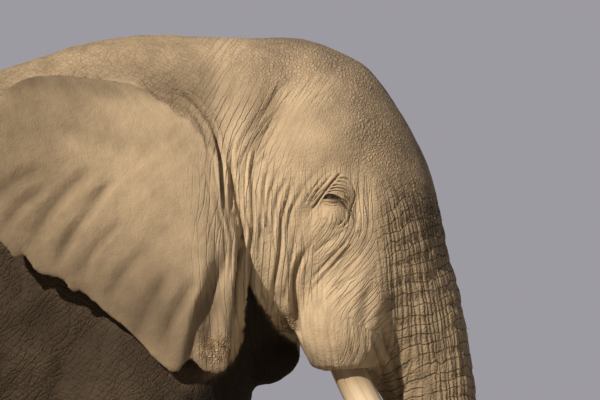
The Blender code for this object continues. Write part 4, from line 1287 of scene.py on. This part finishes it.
def tail_hair(skin, material):
    """The tuft: long wiry hairs in a row along the front and the back of the tail's end, hanging, and
    shorter ones on the tail's edges above it."""
    low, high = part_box("tail_tuft")
    count, edge_count = TUFT_HAIRS, TAIL_EDGE_HAIRS
    rng = np.random.default_rng(5)
    start = rng.random(count)
    turn = np.where(rng.random(count) < 0.5, 0.0, math.pi) + rng.normal(0, 0.8, count)
    c, s = np.cos(turn), np.sin(turn)
    centre = np.array([(low.x + high.x) / 2, (low.y + high.y) / 2, high.z])
    roots = centre + np.stack([c * 0.020, s * 0.016, 0.012 - 0.20 * start], axis=1)
    room = roots[:, 2] - low.z
    lengths = np.minimum(rng.uniform(0.20, 0.42, count), room * rng.uniform(0.68, 0.99, count))
    flare = rng.uniform(0.05, 0.22, count)
    ways = np.stack([c * flare, s * 0.5 * flare, -np.ones(count)], axis=1)
    ways += rng.normal(0, 0.035, (count, 3))
    ways += np.stack([-(c * 0.16), -(s * 0.07), np.zeros(count)], axis=1) * (start[:, None] - 0.2)
    ways = unit(ways)
    unwrap = np.stack([0.02 + 0.10 * (turn % (2 * math.pi)) / (2 * math.pi), 0.02 + 0.10 * start], axis=1)

    points, normals = points_of(skin), normals_of(skin)
    above = points[:, 2] - high.z
    edge = (points[:, 0] < high.x + 0.05) & (above > -0.02) & (above < 0.26) & (np.abs(normals[:, 0]) > 0.55)
    chosen = rng.choice(np.flatnonzero(edge), edge_count)
    share, out = (above[chosen] / 0.26).clip(0, 1), normals[chosen]
    shape = (edge_count, 3)
    roots = np.vstack([roots, points[chosen] - out * 0.002 + rng.normal(0, 0.002, shape)])
    ways = np.vstack([ways, out * 0.10 + rng.normal(0, 0.05, shape) + np.array([0, 0, -1.0])])
    lengths = np.append(lengths, rng.uniform(0.07, 0.20, edge_count) * (1 - 0.6 * share))
    patch = np.stack([0.15 + 0.05 * rng.random(edge_count), 0.02 + 0.1 * share], axis=1)
    radius = rng.uniform(0.0008, 0.0015, len(roots))
    made = hairs("tail_hair", roots, ways, lengths, radius, 0.10, np.vstack([unwrap, patch]), material, 7)
    points = points_of(made)
    points[:, 0] = np.clip(points[:, 0], low.x - 0.002, high.x + 0.002)
    points[:, 1] = np.clip(points[:, 1], low.y - 0.004, high.y + 0.004)
    move_points(made, points)
    return made


def lashes(tree, material):
    """A row of stiff lashes along each upper lid, longest in front, pointing out and down."""
    rng = np.random.default_rng(9)
    edge = smooth_line(LID_LINE[1:7], count=46)
    roots, ways, lengths, unwrap = [], [], [], []
    for side in (1, -1):
        for share, (x, z) in zip(np.linspace(0, 1, len(edge)), edge):
            x, z = x + rng.normal(0, 0.0006), z + 0.0012 + rng.normal(0, 0.0006)
            hit = tree.ray_cast(Vector((EYE[0] + x, side * 2.0, EYE[2] + z)), Vector((0, -side, 0)))[0]
            if hit is None:
                continue
            roots.append((hit.x, hit.y - side * 0.001, hit.z))
            ways.append((0.55 * share + 0.05 + rng.normal(0, 0.06), side * (0.75 - 0.2 * share),
                         -0.55 - 0.3 * share + rng.normal(0, 0.06)))
            lengths.append(0.018 + 0.026 * share + rng.normal(0, 0.002))
            unwrap.append((0.30 + 0.2 * share + 0.3 * (side > 0), 0.55))
    return hairs("lashes", np.array(roots), unit(np.array(ways)), np.array(lengths), 0.00055, 6.0,
                 np.array(unwrap), material, 5)


def bristles(skin, material):
    """Sparse stiff hairs on the crown, along the back, on the trunk and on the chin."""
    rng = np.random.default_rng(14)
    points, normals = points_of(skin), normals_of(skin)
    u, w = points[:, 0] - EYE[0], points[:, 2] - EYE[2]
    crown = (normals[:, 2] > 0.75) & (w > 0.1)
    chin = (w < -0.42) & (w > -0.62) & (u < -0.08) & (u > -0.40)
    chin = chin & (normals[:, 2] < 0.2) & (np.abs(points[:, 1]) < 0.2)
    trunk = (u > 0.12) & (w < -0.3)
    chance = 0.010 * crown + 0.05 * chin + 0.012 * trunk
    chosen = np.flatnonzero(rng.random(len(points)) < chance * 0.75)
    roots = points[chosen] - normals[chosen] * 0.001
    ways = unit(normals[chosen] + rng.normal(0, 0.35, (len(chosen), 3)) + np.array([-0.3, 0, 0.0]))
    lengths = rng.uniform(0.008, 0.022, len(chosen)) * np.where(chin[chosen], 1.6, 1.0)
    low, high = cad_box
    back = (roots[:, 0] - low[0]) / (high[0] - low[0])
    around = np.arctan2(roots[:, 1], roots[:, 2] - 1.9) / (2 * math.pi) + 0.5
    unwrap = np.stack([0.15 + 0.8 * back, 0.15 + 0.8 * around], axis=1)
    return hairs("bristles", roots, ways, lengths, 0.00045, 2.0, unwrap, material, 3)


def mend(skin):
    """Evens out the places where a face was left turned over when the skin was thinned."""
    bm = bmesh.new()
    bm.from_mesh(skin.data)
    turned = set()
    for face in bm.faces:
        near = [other.normal for edge in face.edges for other in edge.link_faces if other is not face]
        if sum(face.normal.dot(normal) for normal in near) < -0.2 * len(near):
            turned.update(vert.index for vert in face.verts)
    bm.free()
    points, edges = points_of(skin), edges_of(skin)
    chosen = np.zeros(len(points))
    chosen[list(turned)] = 1
    move_points(skin, relax(points, edges, 4, give=0.6, back=0.0, amount=chosen))


# ---------------- the animal
hide, ivory, horn, wet, hair = skin_paint(), ivory_paint(), nail_paint(), eye_paint(), hair_paint()
skin = bare_skin()
refined_near_eyes(skin)
dress(skin)
count = sum(len(p.vertices) - 2 for p in skin.data.polygons)
applied(skin, "thin", "DECIMATE", ratio=SKIN_FACES / count, vertex_group="thin_out",
        vertex_group_factor=0.0002, use_collapse_triangulate=True)
skin.vertex_groups.clear()
mend(skin)
skin.data.materials.clear()
skin.data.materials.append(hide)
skin.data.shade_smooth()
skin.name = skin.data.name = "skin"
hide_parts(*SKIN_NODES)
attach(skin, "root")

for word, side in (("left", 1), ("right", -1)):
    for made, node_name, slot in ((tusk(f"ivory_tusk_{word}", side, ivory), f"tusk_{word}", "ivory"),
                                  (eyeball(f"eyeball_{word}", side, wet), f"eye_{word}", "eye")):
        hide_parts(node_name)
        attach(made, "root")

nails = toenails(skin, horn)
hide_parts(*NAIL_NODES)
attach(nails, "root")

tail = tail_hair(skin, hair)
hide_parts("tail_tuft")
skin_tree = BVHTree.FromObject(skin, bpy.context.evaluated_depsgraph_get())
for made in (tail, lashes(skin_tree, hair), bristles(skin, hair)):
    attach(made, "root")

# ---------------- floor, light, camera
floor = mesh_piece("floor", [(-60, -60, 0), (60, -60, 0), (60, 60, 0), (-60, 60, 0)], [(0, 1, 2, 3)],
                   Paint("pale_floor", (0.40, 0.365, 0.30), 0.95).mat)

world = bpy.data.worlds.new("studio")
world.use_nodes = True
nodes = world.node_tree
way = node(nodes, "TexCoord").outputs["Generated"]
sky = node(nodes, "ValToRGB", Fac=node(nodes, "SeparateXYZ", Vector=way).outputs["Z"])
for stop, place, colour in zip(sky.color_ramp.elements, (0.095, 0.20),
                               ((0.338, 0.326, 0.360), (0.055, 0.06, 0.075))):
    stop.position, stop.color = place, (*colour, 1)
nodes.links.new(sky.outputs["Color"], nodes.nodes["Background"].inputs["Color"])
bpy.context.scene.world = world


def sun(name, towards, energy, colour, softness):
    lamp = bpy.data.lights.new(name, "SUN")
    lamp.energy, lamp.color, lamp.angle = energy, colour, math.radians(softness)
    made = bpy.data.objects.new(name, lamp)
    made.rotation_euler = Vector(towards).to_track_quat("Z", "Y").to_euler()
    bpy.context.scene.collection.objects.link(made)


sun("key", (-0.50, -0.64, 0.58), 4.9, (1.0, 0.90, 0.77), 1.2)
sun("fill", (0.7, 0.7, 0.4), 0.35, (0.85, 0.90, 1.0), 30.0)

lens = bpy.data.cameras.new("camera")
lens.lens, lens.sensor_width = FOCAL_LENGTH, 36.0
lens.clip_end = 400.0
camera = bpy.data.objects.new("camera", lens)
camera.location = (EYE[0] - CAMERA_BEHIND_EYE, -CAMERA_AWAY, CAMERA_HEIGHT)
camera.rotation_euler = (math.radians(90 + CAMERA_UP), 0, 0)
bpy.context.scene.collection.objects.link(camera)
bpy.context.scene.camera = camera
bpy.context.scene.view_settings.view_transform = "Standard"
